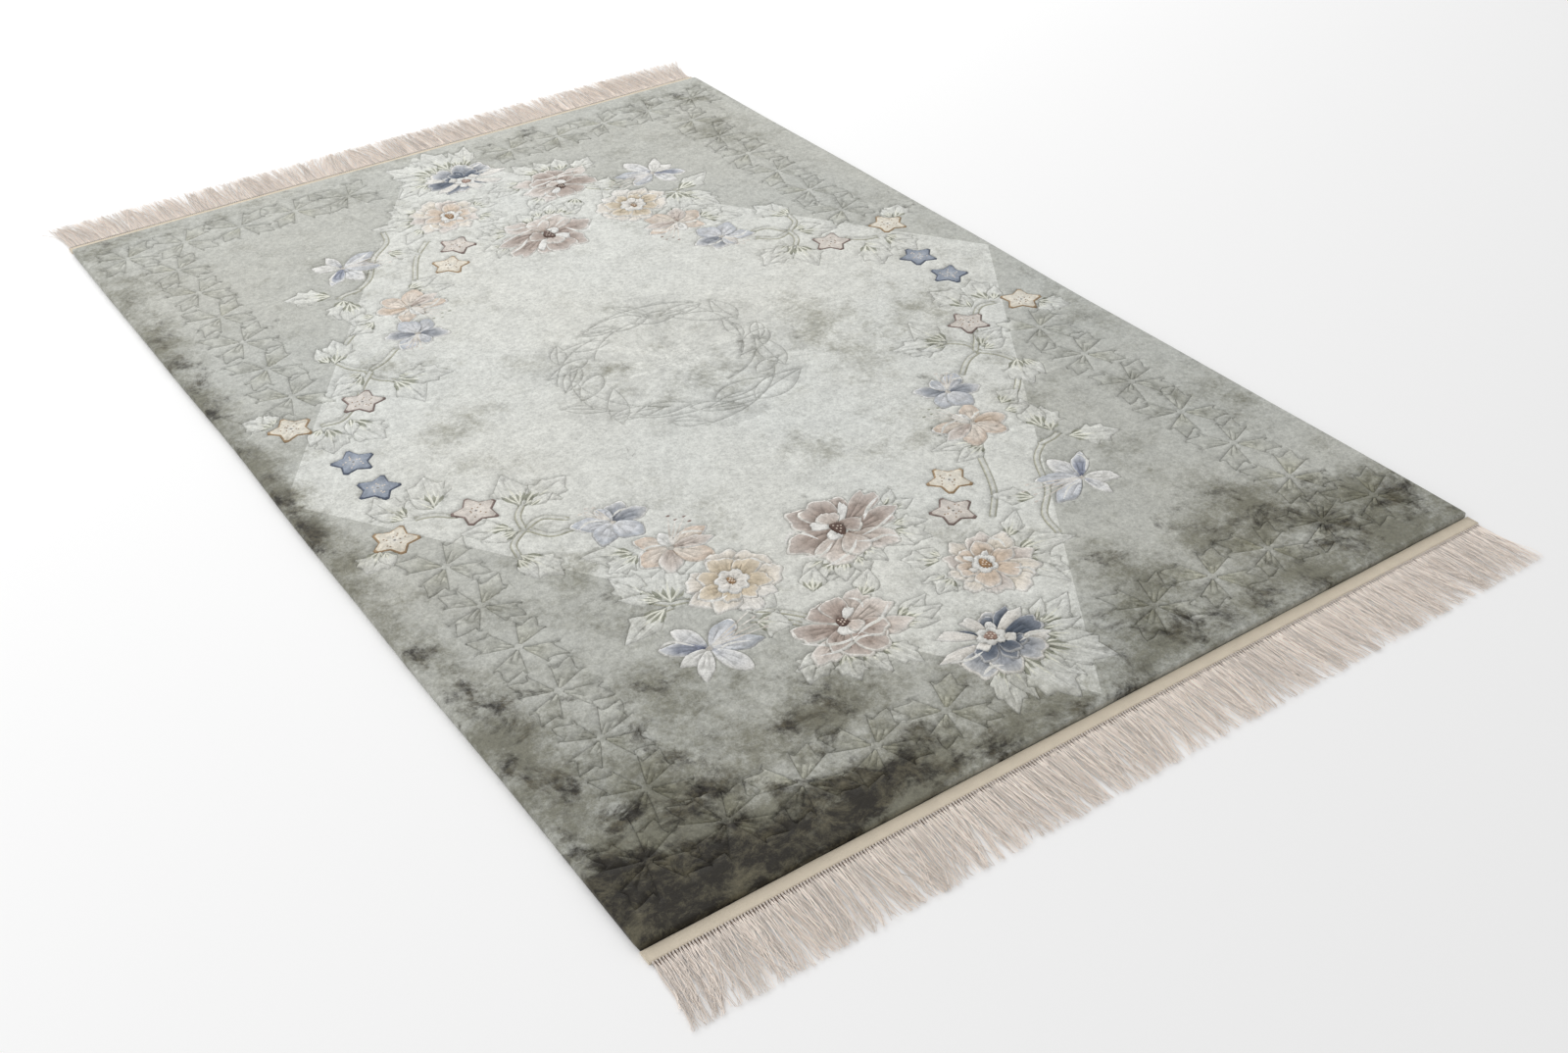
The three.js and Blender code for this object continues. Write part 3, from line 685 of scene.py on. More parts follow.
def layPattern():
    dx, dy = pileSettings["diamondX"], pileSettings["diamondY"]
    corners = np.array([settled(c) for c in ((dx, 0), (0, dy), (-dx, 0), (0, -dy))])
    diamond = motif(evenly(corners, pileSettings["edgeStep"]), "silver", "diamond", (0, 0), 1, 0, cut=False)
    lie = {"matrix": np.eye(2), "offset": np.zeros(2), "layer": 0, "answer": 1, "swell": 0, "depth": 0}
    shapes.append({**diamond, **lie})
    makeBorder()
    makeWreath()
    makeStems()
    makeLeaves()
    for bloom in blooms:
        makeBloom(bloom)
    for k, star in enumerate(stars):
        makeStar(star, k)
    for peony in peonies:
        makePeony(peony)
    shapes.sort(key=lambda s: s["layer"])
    print("pattern laid out:", len(shapes), "outlines")


# The pile as one closed mesh, cut along every visible outline

def wander(y):
    phase = 2 * math.pi * y / pileSettings["sidePitch"]
    return pileSettings["sideWander"] * (0.7 * np.sin(phase) + 0.3 * np.sin(2.7 * phase + 1))


def pileEdge(inset, step):
    half, p = pileSettings["length"] / 2, pileSettings
    y = np.linspace(-half, half, round(p["length"] / step) + 1)
    x = p["width"] / 2 - p["sideWander"] - inset + wander(y) * np.cos(math.pi * y / p["length"])
    right = np.column_stack([x, y * (1 - inset / half)])
    count = round(2 * x[-1] / step)
    far = np.column_stack([np.linspace(x[-1], -x[0], count + 1)[1:-1], np.full(count - 1, right[-1, 1])])
    return np.vstack([right, far, -right, -far])


def insideLoop(points, loop):
    a, b = loop, np.roll(loop, -1, 0)
    x, y = points[:, :1], points[:, 1:]
    crosses = (a[:, 1] > y) != (b[:, 1] > y)
    with np.errstate(divide="ignore", invalid="ignore"):
        where = (b[:, 0] - a[:, 0]) * (y - a[:, 1]) / (b[:, 1] - a[:, 1]) + a[:, 0]
    return (crosses & (x < where)).sum(1) % 2 == 1


def hiddenUnder(points, owner, boxes):  # true for each point that a higher shape covers
    covered = np.zeros(len(points), bool)
    later = boxes[owner + 1:]
    for k in np.nonzero((later[:, 0] <= points.max(0)).all(1) & (later[:, 1] >= points.min(0)).all(1))[0]:
        covered |= insideLoop(points, shapes[owner + 1 + k]["outline"])
    return covered


def sideways(line, closed):
    way = np.roll(line, -1, 0) - np.roll(line, 1, 0) if closed else np.gradient(line, axis=0)
    side = np.column_stack([-way[:, 1], way[:, 0]])
    return side / (np.linalg.norm(side, axis=1)[:, None] + 1e-9)


def distanceTo(spots):  # gives a function that measures how far points are from the nearest spot
    tree = kdtree.KDTree(len(spots))
    for i, (x, y) in enumerate(spots):
        tree.insert((x, y, 0), i)
    tree.balance()
    return lambda points: np.array([tree.find((x, y, 0))[2] for x, y in points])


def edgesOf(tris):
    return np.vstack([tris[:, [0, 1]], tris[:, [1, 2]], tris[:, [2, 0]]])


def gatherPoints():
    p = pileSettings
    boxes = np.array([(shape["outline"].min(0), shape["outline"].max(0)) for shape in shapes])
    cuts, shoulders = [], []
    for k, shape in enumerate(shapes):
        edges = [(shape["outline"], True)] if shape["cut"] else []
        for line, closed in edges + [(line, False) for line in shape["lines"]]:
            seen = ~hiddenUnder(line, k, boxes)
            side = sideways(line, closed)
            cuts.append(line[seen])
            middles = (line + np.roll(line, -1, 0))[seen & np.roll(seen, -1)] / 2
            cuts.append(middles if closed else middles[:-1])
            ends = slice(None) if closed else slice(1, -1)
            for way in (-1, 1):
                shoulders.append((line + way * p["cutWidth"] * side)[ends][seen[ends]])
    cuts, shoulders = np.vstack(cuts), np.vstack(shoulders)
    farFrom = distanceTo(cuts)
    kept = shoulders[farFrom(shoulders) > 0.75 * p["cutWidth"]]
    cells = np.round(kept).astype(int)  # one shoulder point is enough for each square millimetre
    kept = kept[np.unique(cells, axis=0, return_index=True)[1]]
    reachX, reachY = p["width"] / 2 - p["fillInset"], p["length"] / 2 - p["fillInset"]
    rng, fill = np.random.default_rng(5), []
    near, far = p["closeFrom"], p["openFrom"]
    for step, low, high in ((p["closeStep"], near, far), (p["openStep"], far, math.inf)):
        x, y = np.meshgrid(np.arange(-reachX, reachX, step), np.arange(-reachY, reachY, step * 0.87))
        x[1::2] += step / 2
        grid = np.column_stack([x.ravel(), y.ravel()]) + rng.uniform(-0.22, 0.22, (x.size, 2)) * step
        away = farFrom(grid)
        fill.append(grid[(away > low) & (away <= high)])
    fill = np.vstack(fill)
    fill = fill[(np.abs(fill[:, 0]) < reachX) & (np.abs(fill[:, 1]) < reachY + 1)]
    print("points: cut", len(cuts), "shoulder", len(kept), "fill", len(fill))
    return kept, fill


def triangulate(kept, fill):
    edge = pileEdge(pileSettings["edgeRound"], pileSettings["edgeStep"])
    coords, faces, lines, lineOwner = [], [], [], {}

    def add(points):
        first = len(coords)
        coords.extend(Vector((float(x), float(y))) for x, y in points)
        return list(range(first, first + len(points)))

    faces.append(add(edge))
    for shape in shapes:
        faces.append(add(shape["outline"]))
    for k, shape in enumerate(shapes):
        for line in shape["lines"]:
            made = add(line)
            lines += list(zip(made, made[1:]))
            for i in made:
                lineOwner[i] = k + 1
    add(kept)
    add(fill)
    verts, edges, tris, fromVerts, fromEdges, fromFaces = geometry.delaunay_2d_cdt(
        coords, lines, faces, 1, 1e-3)
    points, tris = np.array([(v.x, v.y) for v in verts]), np.array(tris)
    owner = np.array([max(f) if len(f) else 0 for f in fromFaces])  # 0 is the ground, k + 1 is shape k
    a, b, c = (points[tris[:, i]] for i in range(3))
    flipped = (b[:, 0] - a[:, 0]) * (c[:, 1] - a[:, 1]) - (b[:, 1] - a[:, 1]) * (c[:, 0] - a[:, 0]) < 0
    tris[flipped] = tris[flipped][:, ::-1]
    lineVerts = {}
    for i, source in enumerate(fromVerts):
        for s in source:
            if s in lineOwner:
                lineVerts.setdefault(i, set()).add(lineOwner[s])
    return points, tris, owner, lineVerts


def markCuts(points, tris, owner, lineVerts):
    depth = np.array([0] + [s["depth"] if s["cut"] else 0 for s in shapes])
    ends = np.sort(edgesOf(tris), axis=1)
    face = np.tile(np.arange(len(tris)), 3)
    order = np.lexsort((ends[:, 1], ends[:, 0]))
    ends, face = ends[order], face[order]
    same = (ends[1:] == ends[:-1]).all(1)
    first, second = face[:-1][same], face[1:][same]
    top = np.maximum(owner[first], owner[second])
    isCut = owner[first] != owner[second]
    cut = np.zeros(len(points))
    np.maximum.at(cut, ends[:-1][same][isCut].ravel(), np.repeat(depth[top[isCut]], 2))
    highest = np.zeros(len(points), int)
    np.maximum.at(highest, tris.ravel(), np.repeat(owner, 3))
    for i, owners in lineVerts.items():
        if highest[i] in owners:
            cut[i] = max(cut[i], pileSettings["cutLine"] * shapes[highest[i] - 1]["depth"])
    return cut


def toneOf(shape, where):  # colour, and the place within the petal or leaf, at each point
    local = (where - shape["offset"]) @ np.linalg.inv(shape["matrix"]).T
    n = len(where)
    if shape["kind"] == "diamond":
        return np.tile(linear(silver), (n, 1)), np.zeros((n, 3))
    away = local - np.asarray(shape["base"], float)
    if shape["kind"] == "fan":
        angle = (np.arctan2(away[:, 1], away[:, 0]) - shape["angle"] + math.pi) % (2 * math.pi) - math.pi
        s = np.clip(angle / shape["spread"], -1, 1)
        t = np.linalg.norm(away, axis=1) / np.maximum(np.interp(s, *shape["radii"]), 3)
    elif shape["kind"] == "along":
        t = away @ shape["axis"] / shape["reach"]
        s = (away[:, 1] * shape["axis"][0] - away[:, 0] * shape["axis"][1]) / shape["width"]
    else:
        t = np.linalg.norm(away, axis=1) / shape["reach"]
        s = np.arctan2(away[:, 1], away[:, 0]) / math.pi
    t = np.clip(t, 0, 1)
    place = np.column_stack([t, s, np.full(n, shape["seed"] % 97)])
    if shape["kind"] == "ground":
        base = np.where(inDiamond(where)[:, None], linear(silver), linear(field))
        amount = shape["tone"] * np.clip(1.4 - 1.2 * t[:, None], 0, 1)
        return base * (1.0 + (groundShade - 1.0) * amount), place
    low, mid, high = (linear(c) for c in tones[shape["tone"]])
    u = t[:, None]
    first, second = (0.3, 0.5) if shape["kind"] == "along" else (0.45, 0.72)
    colour = low + (mid - low) * np.clip(u / first, 0, 1)
    colour = colour + (high - mid) * np.clip((u - second) / (1 - second), 0, 1)
    grey = colour @ np.array([0.3, 0.6, 0.1])
    return colour + (grey[:, None] - colour) * pileSettings["fade"], place


clouds = [  # where the pile is darker, from abrash in the dye and painted shade of pile leaning away from the light: place, radii and strength
    ((-570, -870), (130, 70), 1.55), ((-430, -868), (140, 46), 1.5), ((-280, -872), (120, 36), 0.8),
    ((-120, -885), (120, 30), 0.5), ((100, -880), (140, 34), 0.5), ((300, -872), (120, 40), 0.5),
    ((500, -880), (110, 34), 0.5), ((370, -750), (80, 50), 0.7), ((180, -720), (50, 36), 0.3),
    ((560, -800), (60, 80), 0.45), ((-430, -715), (90, 70), 0.6), ((-500, -775), (90, 40), 0.35),
    ((-375, -590), (45, 50), 0.45), ((-540, -530), (90, 80), 0.3), ((-215, -822), (75, 36), 0.6),
    ((20, -770), (80, 60), 0.5), ((160, -805), (66, 50), 0.55), ((445, -795), (90, 50), 0.45),
    ((475, -830), (40, 30), 0.3), ((365, -685), (64, 44), 0.5), ((-570, -640), (56, 220), 0.65),
    ((-258, -740), (66, 40), 0.85), ((-420, -640), (60, 60), 0.2), ((-230, -700), (50, 40), 0.3),
    ((-330, -350), (50, 30), 0.45), ((560, -300), (50, 220), 0.2), ((565, 300), (44, 260), 0.2),
    ((520, 690), (60, 110), 0.3), ((440, 820), (80, 50), 0.25), ((210, 860), (50, 50), 0.4),
    ((-586, 0), (30, 300), 0.9), ((-578, 520), (36, 170), 0.45), ((-570, 750), (50, 100), 0.45),
    ((60, -300), (200, 70), 0.2), ((-20, 0), (130, 120), 0.1), ((-330, 40), (50, 40), 0.3),
    ((290, -50), (130, 200), 0.3), ((570, 850), (70, 60), 0.3), ((-90, 40), (22, 16), 0.35),
    ((-100, -30), (20, 18), 0.35), ((-70, -80), (36, 20), 0.4), ((0, 60), (20, 14), 0.3),
    ((60, 40), (16, 26), 0.25), ((-10, -60), (26, 16), 0.3), ((80, 70), (16, 16), 0.25),
    ((-600, 300), (20, 200), 0.25), ((-540, 870), (100, 40), 0.5),
]


def cloudAt(points):
    x, y = points[:, 0], points[:, 1]
    # painted shade: darker towards the near end and lighter to the right, as the light falls on the pile;
    # less inside the diamond
    amount = 0.13 - 0.06 * np.clip(x / 500, 0, 1) + 0.17 * np.clip((-y - 300) / 600, 0, 1)
    amount = amount * np.where(inDiamond(points), 0.45, 1)
    for (cx, cy), (rx, ry), strength in clouds:
        amount = amount + strength * np.exp(-((x - cx) / rx) ** 2 - ((y - cy) / ry) ** 2)
    return amount


def makePile():
    p = pileSettings
    kept, fill = gatherPoints()
    points, tris, owner, lineVerts = triangulate(kept, fill)
    cut = markCuts(points, tris, owner, lineVerts)
    away = distanceTo(points[cut > 0])(points)
    swellOf = np.array([0.0] + [s["swell"] for s in shapes])
    highest = np.zeros(len(points))
    np.maximum.at(highest, tris.ravel(), np.repeat(swellOf[owner], 3))
    proud = highest * np.clip(away / p["swellOver"], 0, 1) ** 0.8
    z = p["top"] + np.where(cut > 0, -p["cutDepth"] * cut, proud)
    verts, side, back = closeEdge(np.column_stack([points, z]), chainBoundary(tris))
    mesh = bpy.data.meshes.new("carpetPile")
    mesh.from_pydata((verts * mm).tolist(), [], [tuple(int(i) for i in t) for t in tris] + side + [back])
    mesh.update()
    paintPile(mesh, points, tris, owner, cut)
    mesh.polygons.foreach_set("use_smooth", [True] * len(mesh.polygons))
    mesh.update()
    mesh.calc_loop_triangles()
    print("pile:", len(mesh.vertices), "points,", len(mesh.loop_triangles), "triangles")
    return linkObject("carpetPile", mesh)


def closeEdge(verts, boundary):  # rounds the pile down at its edge to a flat back
    loop = verts[boundary][:, :2]
    way = sideways(loop, True)
    if (way[0] * loop[0]).sum() < 0:
        way = -way
    rings, extra = [np.array(boundary)], []
    for out, height in pileSettings["edgeProfile"]:
        rings.append(np.arange(len(loop)) + len(verts) + len(extra) * len(loop))
        extra.append(np.column_stack([loop + way * out, np.full(len(loop), height)]))
    side = []
    for upper, lower in zip(rings, rings[1:]):
        for i in range(len(loop)):
            j = (i + 1) % len(loop)
            side.append((int(lower[i]), int(lower[j]), int(upper[j]), int(upper[i])))
    return np.vstack([verts] + extra), side, tuple(int(i) for i in rings[-1][::-1])


def chainBoundary(tris):
    seen = {(int(a), int(b)) for a, b in edgesOf(tris)}
    after = {a: b for a, b in seen if (b, a) not in seen}
    start = next(iter(after))
    made = [start]
    while after[made[-1]] != start:
        made.append(after[made[-1]])
    return made


def paintPile(mesh, points, tris, owner, cut):  # the dyes and places, kept on the corners of the mesh, with how strongly the painted shade shows on each motif; on the points, the groove depth and the amount of abrash and painted shade
    colour = np.tile([*linear(field), 1], (len(mesh.loops), 1))
    place = np.zeros((len(mesh.loops), 3))
    cornerOwner = np.repeat(owner, 3)
    where = points[tris.ravel()]
    order = np.argsort(cornerOwner, kind="stable")
    borders = np.searchsorted(cornerOwner[order], np.arange(len(shapes) + 2))
    for k, shape in enumerate(shapes):
        mine = order[borders[k + 1]:borders[k + 2]]
        if len(mine):
            tone, spot = toneOf(shape, where[mine])
            colour[mine, :3] = tone
            colour[mine, 3] = shape["answer"]
            place[mine] = spot
    mesh.attributes.new("tone", "FLOAT_COLOR", "CORNER").data.foreach_set("color", colour.ravel())
    mesh.attributes.new("place", "FLOAT_VECTOR", "CORNER").data.foreach_set("vector", place.ravel())
    cutAll = np.zeros(len(mesh.vertices))
    cutAll[:len(cut)] = cut
    mesh.attributes.new("cut", "FLOAT", "POINT").data.foreach_set("value", cutAll)
    spots = np.zeros(len(mesh.vertices) * 3)
    mesh.vertices.foreach_get("co", spots)
    # abrash in the dye, and painted shade of the leaning pile, at each point
    cloud = cloudAt(spots.reshape(-1, 3)[:, :2] / mm)
    mesh.attributes.new("cloud", "FLOAT", "POINT").data.foreach_set("value", cloud)


layPattern()
pile = makePile()


# Materials

marbleSettings = {  # the clouds of brushed pile: abrash in the dye, and painted shade where the pile leans away from the light
    "broadScale": 7, "smallScale": 24, "fineScale": 170,
    "blotScale": 15, "patchScale": 32, "warmScale": 2.3,
    "push": 0.36,  # how strongly the laid clouds steer the noise
    "shadeFrom": (0.93, 1.33), "deepFrom": (1.2, 1.52), "patchFrom": (0.45, 0.64),
    "shadeTint": (0.4, 0.388, 0.325, 1), "olive": (0.132, 0.117, 0.073, 1), "dark": (23, 16, 5),
    "warm": (1.03, 1.0, 0.95, 1), "cool": (0.97, 1.0, 1.03, 1),
}
tuftSettings = {"speckle": 0.24, "drift": 0.95, "brush": 0.62, "driftScale": 150, "brushScale": 36}


def shaderTools(tree):  # short ways to the nodes that every look uses, each giving its output
    make = nodeMaker(tree)
    spot = make("ShaderNodeTexCoord").outputs["Object"]

    def noise(scale, detail, roughness=0.5, distortion=0.0, at=spot):
        values = {"Vector": at, "Scale": scale, "Detail": detail, "Roughness": roughness,
                  "Distortion": distortion}
        return make("ShaderNodeTexNoise", values).outputs["Fac"]

    def paint(share, a, b, kind="MIX"):
        return make("ShaderNodeMix", {0: share, 6: a, 7: b}, data_type="RGBA", blend_type=kind).outputs[2]

    def grey(value):
        return make("ShaderNodeCombineColor", {0: value, 1: value, 2: value}).outputs[0]

    def ramp(value, low, high, first, last, way="LINEAR"):
        values = {"Value": value, "From Min": low, "From Max": high, "To Min": first, "To Max": last}
        return make("ShaderNodeMapRange", values, interpolation_type=way).outputs[0]

    return make, spot, calcMaker(make), noise, paint, grey, ramp


def makeGroup(name, inputs, outputs):
    tree = bpy.data.node_groups.new(name, "ShaderNodeTree")
    sockets(tree, inputs, outputs)
    make = nodeMaker(tree)
    return tree, make("NodeGroupInput").outputs, make("NodeGroupOutput").inputs


def marbleGroup():  # slow light and dark clouds of brushed pile: abrash in the dye, and painted shade where the pile leans away from the light
    s = marbleSettings
    tree, given, out = makeGroup("brushedClouds", [
        ("Colour", "NodeSocketColor", (0.5, 0.5, 0.5, 1)),
        ("Dark Colour", "NodeSocketColor", (0.03, 0.03, 0.02, 1)),
        ("Amount", "NodeSocketFloat", 0.3), ("Answer", "NodeSocketFloat", 1.0)],
        [("Colour", "NodeSocketColor")])
    make, spot, calc, noise, paint, grey, ramp = shaderTools(tree)
    both = calc("MULTIPLY", noise(s["broadScale"], 9, 0.66, 0.25), 0.58)
    both = calc("MULTIPLY_ADD", noise(s["smallScale"], 8, 0.78, 0.2), 0.42, both)
    both = calc("MULTIPLY_ADD", noise(s["fineScale"], 3, 0.7), 0.22, both)
    raised = calc("MULTIPLY_ADD", given["Amount"], s["push"], calc("MULTIPLY", both, 1.5))
    mask = ramp(raised, *s["shadeFrom"], 0, 1, "SMOOTHSTEP")
    blots = calc("MULTIPLY", noise(s["blotScale"], 8, 0.72, 0.3), 1.9)
    deep = calc("MULTIPLY_ADD", given["Amount"], s["push"], blots)
    deepMask = ramp(deep, *s["deepFrom"], 0, 0.95, "SMOOTHSTEP")
    warmth = paint(noise(s["warmScale"], 3), s["warm"], s["cool"])
    tinted = paint(1.0, given["Colour"], warmth, "MULTIPLY")
    # painted shade: a darker copy of the colour, and deep olive-black blots, laid over the abrash where the
    # clouds gather
    shaded = paint(1.0, tinted, s["shadeTint"], "MULTIPLY")
    middle = paint(calc("MULTIPLY", mask, given["Answer"]), tinted, shaded)
    patchy = ramp(noise(s["patchScale"], 7, 0.78, 0.4), *s["patchFrom"], 0, 0.85)
    olive = paint(patchy, given["Dark Colour"], s["olive"])
    mixed = paint(calc("MULTIPLY", deepMask, given["Answer"]), middle, olive)
    tree.links.new(mixed, out["Colour"])
    return tree


def tuftGroup():  # cut ends of the pile: fine speckle and a soft uneven height
    s = tuftSettings
    tree, given, out = makeGroup("cutTufts", [
        ("Colour", "NodeSocketColor", (0.5, 0.5, 0.5, 1)), ("Tuft", "NodeSocketFloat", 620.0),
        ("Speckle", "NodeSocketFloat", s["speckle"])],
        [("Colour", "NodeSocketColor"), ("Height", "NodeSocketFloat")])
    make, spot, calc, noise, paint, grey, ramp = shaderTools(tree)
    tuft = make("ShaderNodeTexVoronoi", {"Vector": spot, "Scale": given["Tuft"], "Randomness": 1.0}).outputs
    drift, brush = noise(s["driftScale"], 4, 0.75), noise(s["brushScale"], 7, 0.78)
    value = calc("MULTIPLY_ADD", calc("SUBTRACT", tuft["Color"], 0.5), given["Speckle"], 1.0)
    value = calc("MULTIPLY_ADD", calc("SUBTRACT", drift, 0.5), s["drift"], value)
    value = calc("MULTIPLY_ADD", calc("SUBTRACT", brush, 0.5), s["brush"], value)
    height = calc("MULTIPLY_ADD", drift, 1.2, calc("MULTIPLY", tuft["Distance"], -0.4))
    height = calc("MULTIPLY_ADD", brush, 2.4, height)
    tree.links.new(paint(1.0, given["Colour"], grey(value), "MULTIPLY"), out["Colour"])
    tree.links.new(height, out["Height"])
    return tree


marble, tufts = marbleGroup(), tuftGroup()


def newMaterial(name, colour, roughness, sheen=0.0):
    made = bpy.data.materials.new(name)
    made.use_nodes = True
    shader = made.node_tree.nodes["Principled BSDF"].inputs
    shader["Base Color"].default_value = (*linear(colour), 1)
    shader["Roughness"].default_value = roughness
    shader["Specular IOR Level"].default_value = 0.3
    shader["Sheen Weight"].default_value = sheen
    shader["Sheen Roughness"].default_value = 0.35
    return made


def finish(made, colour, height, distance, strength):  # the last colour of a look, and its grain as bump
    make = nodeMaker(made.node_tree)
    shader = made.node_tree.nodes["Principled BSDF"].inputs
    bump = make("ShaderNodeBump", {"Height": height, "Distance": distance, "Strength": strength})
    made.node_tree.links.new(colour, shader["Base Color"])
    made.node_tree.links.new(bump.outputs[0], shader["Normal"])
    return made


def pileMaterial():
    made = newMaterial("silkyCutPile", field, 0.66, 0.07)
    made.node_tree.nodes["Principled BSDF"].inputs["Sheen Tint"].default_value = (0.95, 0.96, 0.93, 1)
    make, spot, calc, noise, paint, grey, ramp = shaderTools(made.node_tree)
    tone, place, cut, cloud = (make("ShaderNodeAttribute", attribute_name=name).outputs
                               for name in ("tone", "place", "cut", "cloud"))
    parts = make("ShaderNodeSeparateXYZ", {0: place["Vector"]}).outputs
    along, across = calc("MULTIPLY", parts[0], 1.1), calc("MULTIPLY", parts[1], 4.5)
    streakAt = make("ShaderNodeCombineXYZ", {0: along, 1: across, 2: parts[2]}).outputs[0]
    rays = grey(ramp(noise(1.6, 4, 0.6, at=streakAt), 0.3, 0.7, 0.8, 1.12))  # streaks along each petal
    painted = paint(calc("GREATER_THAN", parts[2], 0.001), tone["Color"], rays, "MULTIPLY")
    # abrash and painted shade of the leaning pile, laid over the dyes
    clouded = make("ShaderNodeGroup", node_tree=marble)
    clouded.inputs["Dark Colour"].default_value = (*linear(marbleSettings["dark"]), 1)
    for source, name in ((painted, "Colour"), (cloud["Fac"], "Amount"), (tone["Alpha"], "Answer")):
        made.node_tree.links.new(source, clouded.inputs[name])
    # painted shade: the colour darkened in the carved grooves
    shadow = calc("MULTIPLY", cut["Fac"], 0.55)
    grooved = paint(shadow, clouded.outputs["Colour"], (0.42, 0.42, 0.4, 1), "MULTIPLY")
    tuft = make("ShaderNodeGroup", node_tree=tufts)
    made.node_tree.links.new(grooved, tuft.inputs["Colour"])
    return finish(made, tuft.outputs["Colour"], tuft.outputs["Height"], 0.0011, 0.5)


def clothMaterial(name, colour, thread, contrast=0.25):
    made = newMaterial(name, colour, 0.85, 0.1)
    make, spot, calc, noise, paint, grey, ramp = shaderTools(made.node_tree)
    waves = []
    for way, scale in (("X", thread), ("Y", thread * 1.3)):
        values = {"Vector": spot, "Scale": scale, "Distortion": 1.5, "Detail": 1.0}
        waves.append(make("ShaderNodeTexWave", values, bands_direction=way).outputs["Fac"])
    cross = calc("ADD", *waves)
    value = calc("MULTIPLY_ADD", cross, contrast / 2, 1 - contrast / 2)
    value = calc("MULTIPLY_ADD", noise(60, 5), 0.2, value)
    woven = paint(1.0, (*linear(colour), 1), grey(value), "MULTIPLY")
    return finish(made, woven, cross, 0.0003, 0.6)


def yarnMaterial(name, colour):
    made = newMaterial(name, colour, 0.7, 0.3)
    make, spot, calc, noise, paint, grey, ramp = shaderTools(made.node_tree)
    shade = make("ShaderNodeAttribute", attribute_name="yarnShade").outputs["Fac"]
    grain = noise(900, 2)
    value = calc("MULTIPLY_ADD", grain, 0.25, calc("MULTIPLY_ADD", shade, 0.56, 0.62))
    spun = paint(1.0, (*linear(colour), 1), grey(value), "MULTIPLY")
    return finish(made, spun, grain, 0.0002, 0.4)


pileLook = pileMaterial()
tapeLook = clothMaterial("wovenTape", (217, 205, 185), 420)
# dark strip under the fringe roots, standing in for their shade
rootLook = clothMaterial("rootCord", (112, 90, 74), 300)
yarnLook = yarnMaterial("looseYarn", (240, 229, 219))
pile.data.materials.append(pileLook)
print("materials made")


# The ends: where the bands and the fringe lie

endSettings = {
    "gap": 0.3, "band": 18,  # the clear space between two pieces, and the width for the band
    "yarns": -0.6, "knots": 0.8,  # where they start, from the fringe's edge
}
tapeMiddle = pileSettings["length"] / 2 + endSettings["gap"] + endSettings["band"] / 2
fringeEdge = tapeMiddle + endSettings["band"] / 2 + endSettings["gap"]


# Fringe yarns, as Geometry Nodes

fringeSettings = {  # lengths in metres; each value is a socket of the node tree
    "Bunches": 324, "Yarns Each": 5, "Width": 1.192, "Length": 0.09, "Segments": 11, "Thickness": 0.0005,
    "Clump": 0.0085, "Lean": 0.011, "Fan": 0.0035, "Wave": 0.0024, "Seed": 3,
}
knotSettings = {"Bunches": 324, "Width": 1.192, "Size": 0.0013, "Seed": 1}
# the dark strip of painted shade under the fringe roots
cordSettings = {"gap": 1.1, "width": 4.8, "height": 1.5, "length": 1190, "along": 59}


def growTree(name, settings):  # an empty node tree that takes its sockets from the settings
    tree = bpy.data.node_groups.new(name, "GeometryNodeTree")
    sockets(tree, [(key, "NodeSocketInt" if isinstance(value, int) else "NodeSocketFloat", value)
                   for key, value in settings.items()], [("Geometry", "NodeSocketGeometry")])
    make = nodeMaker(tree)
    return tree, make, make("NodeGroupInput").outputs, make("NodeGroupOutput").inputs


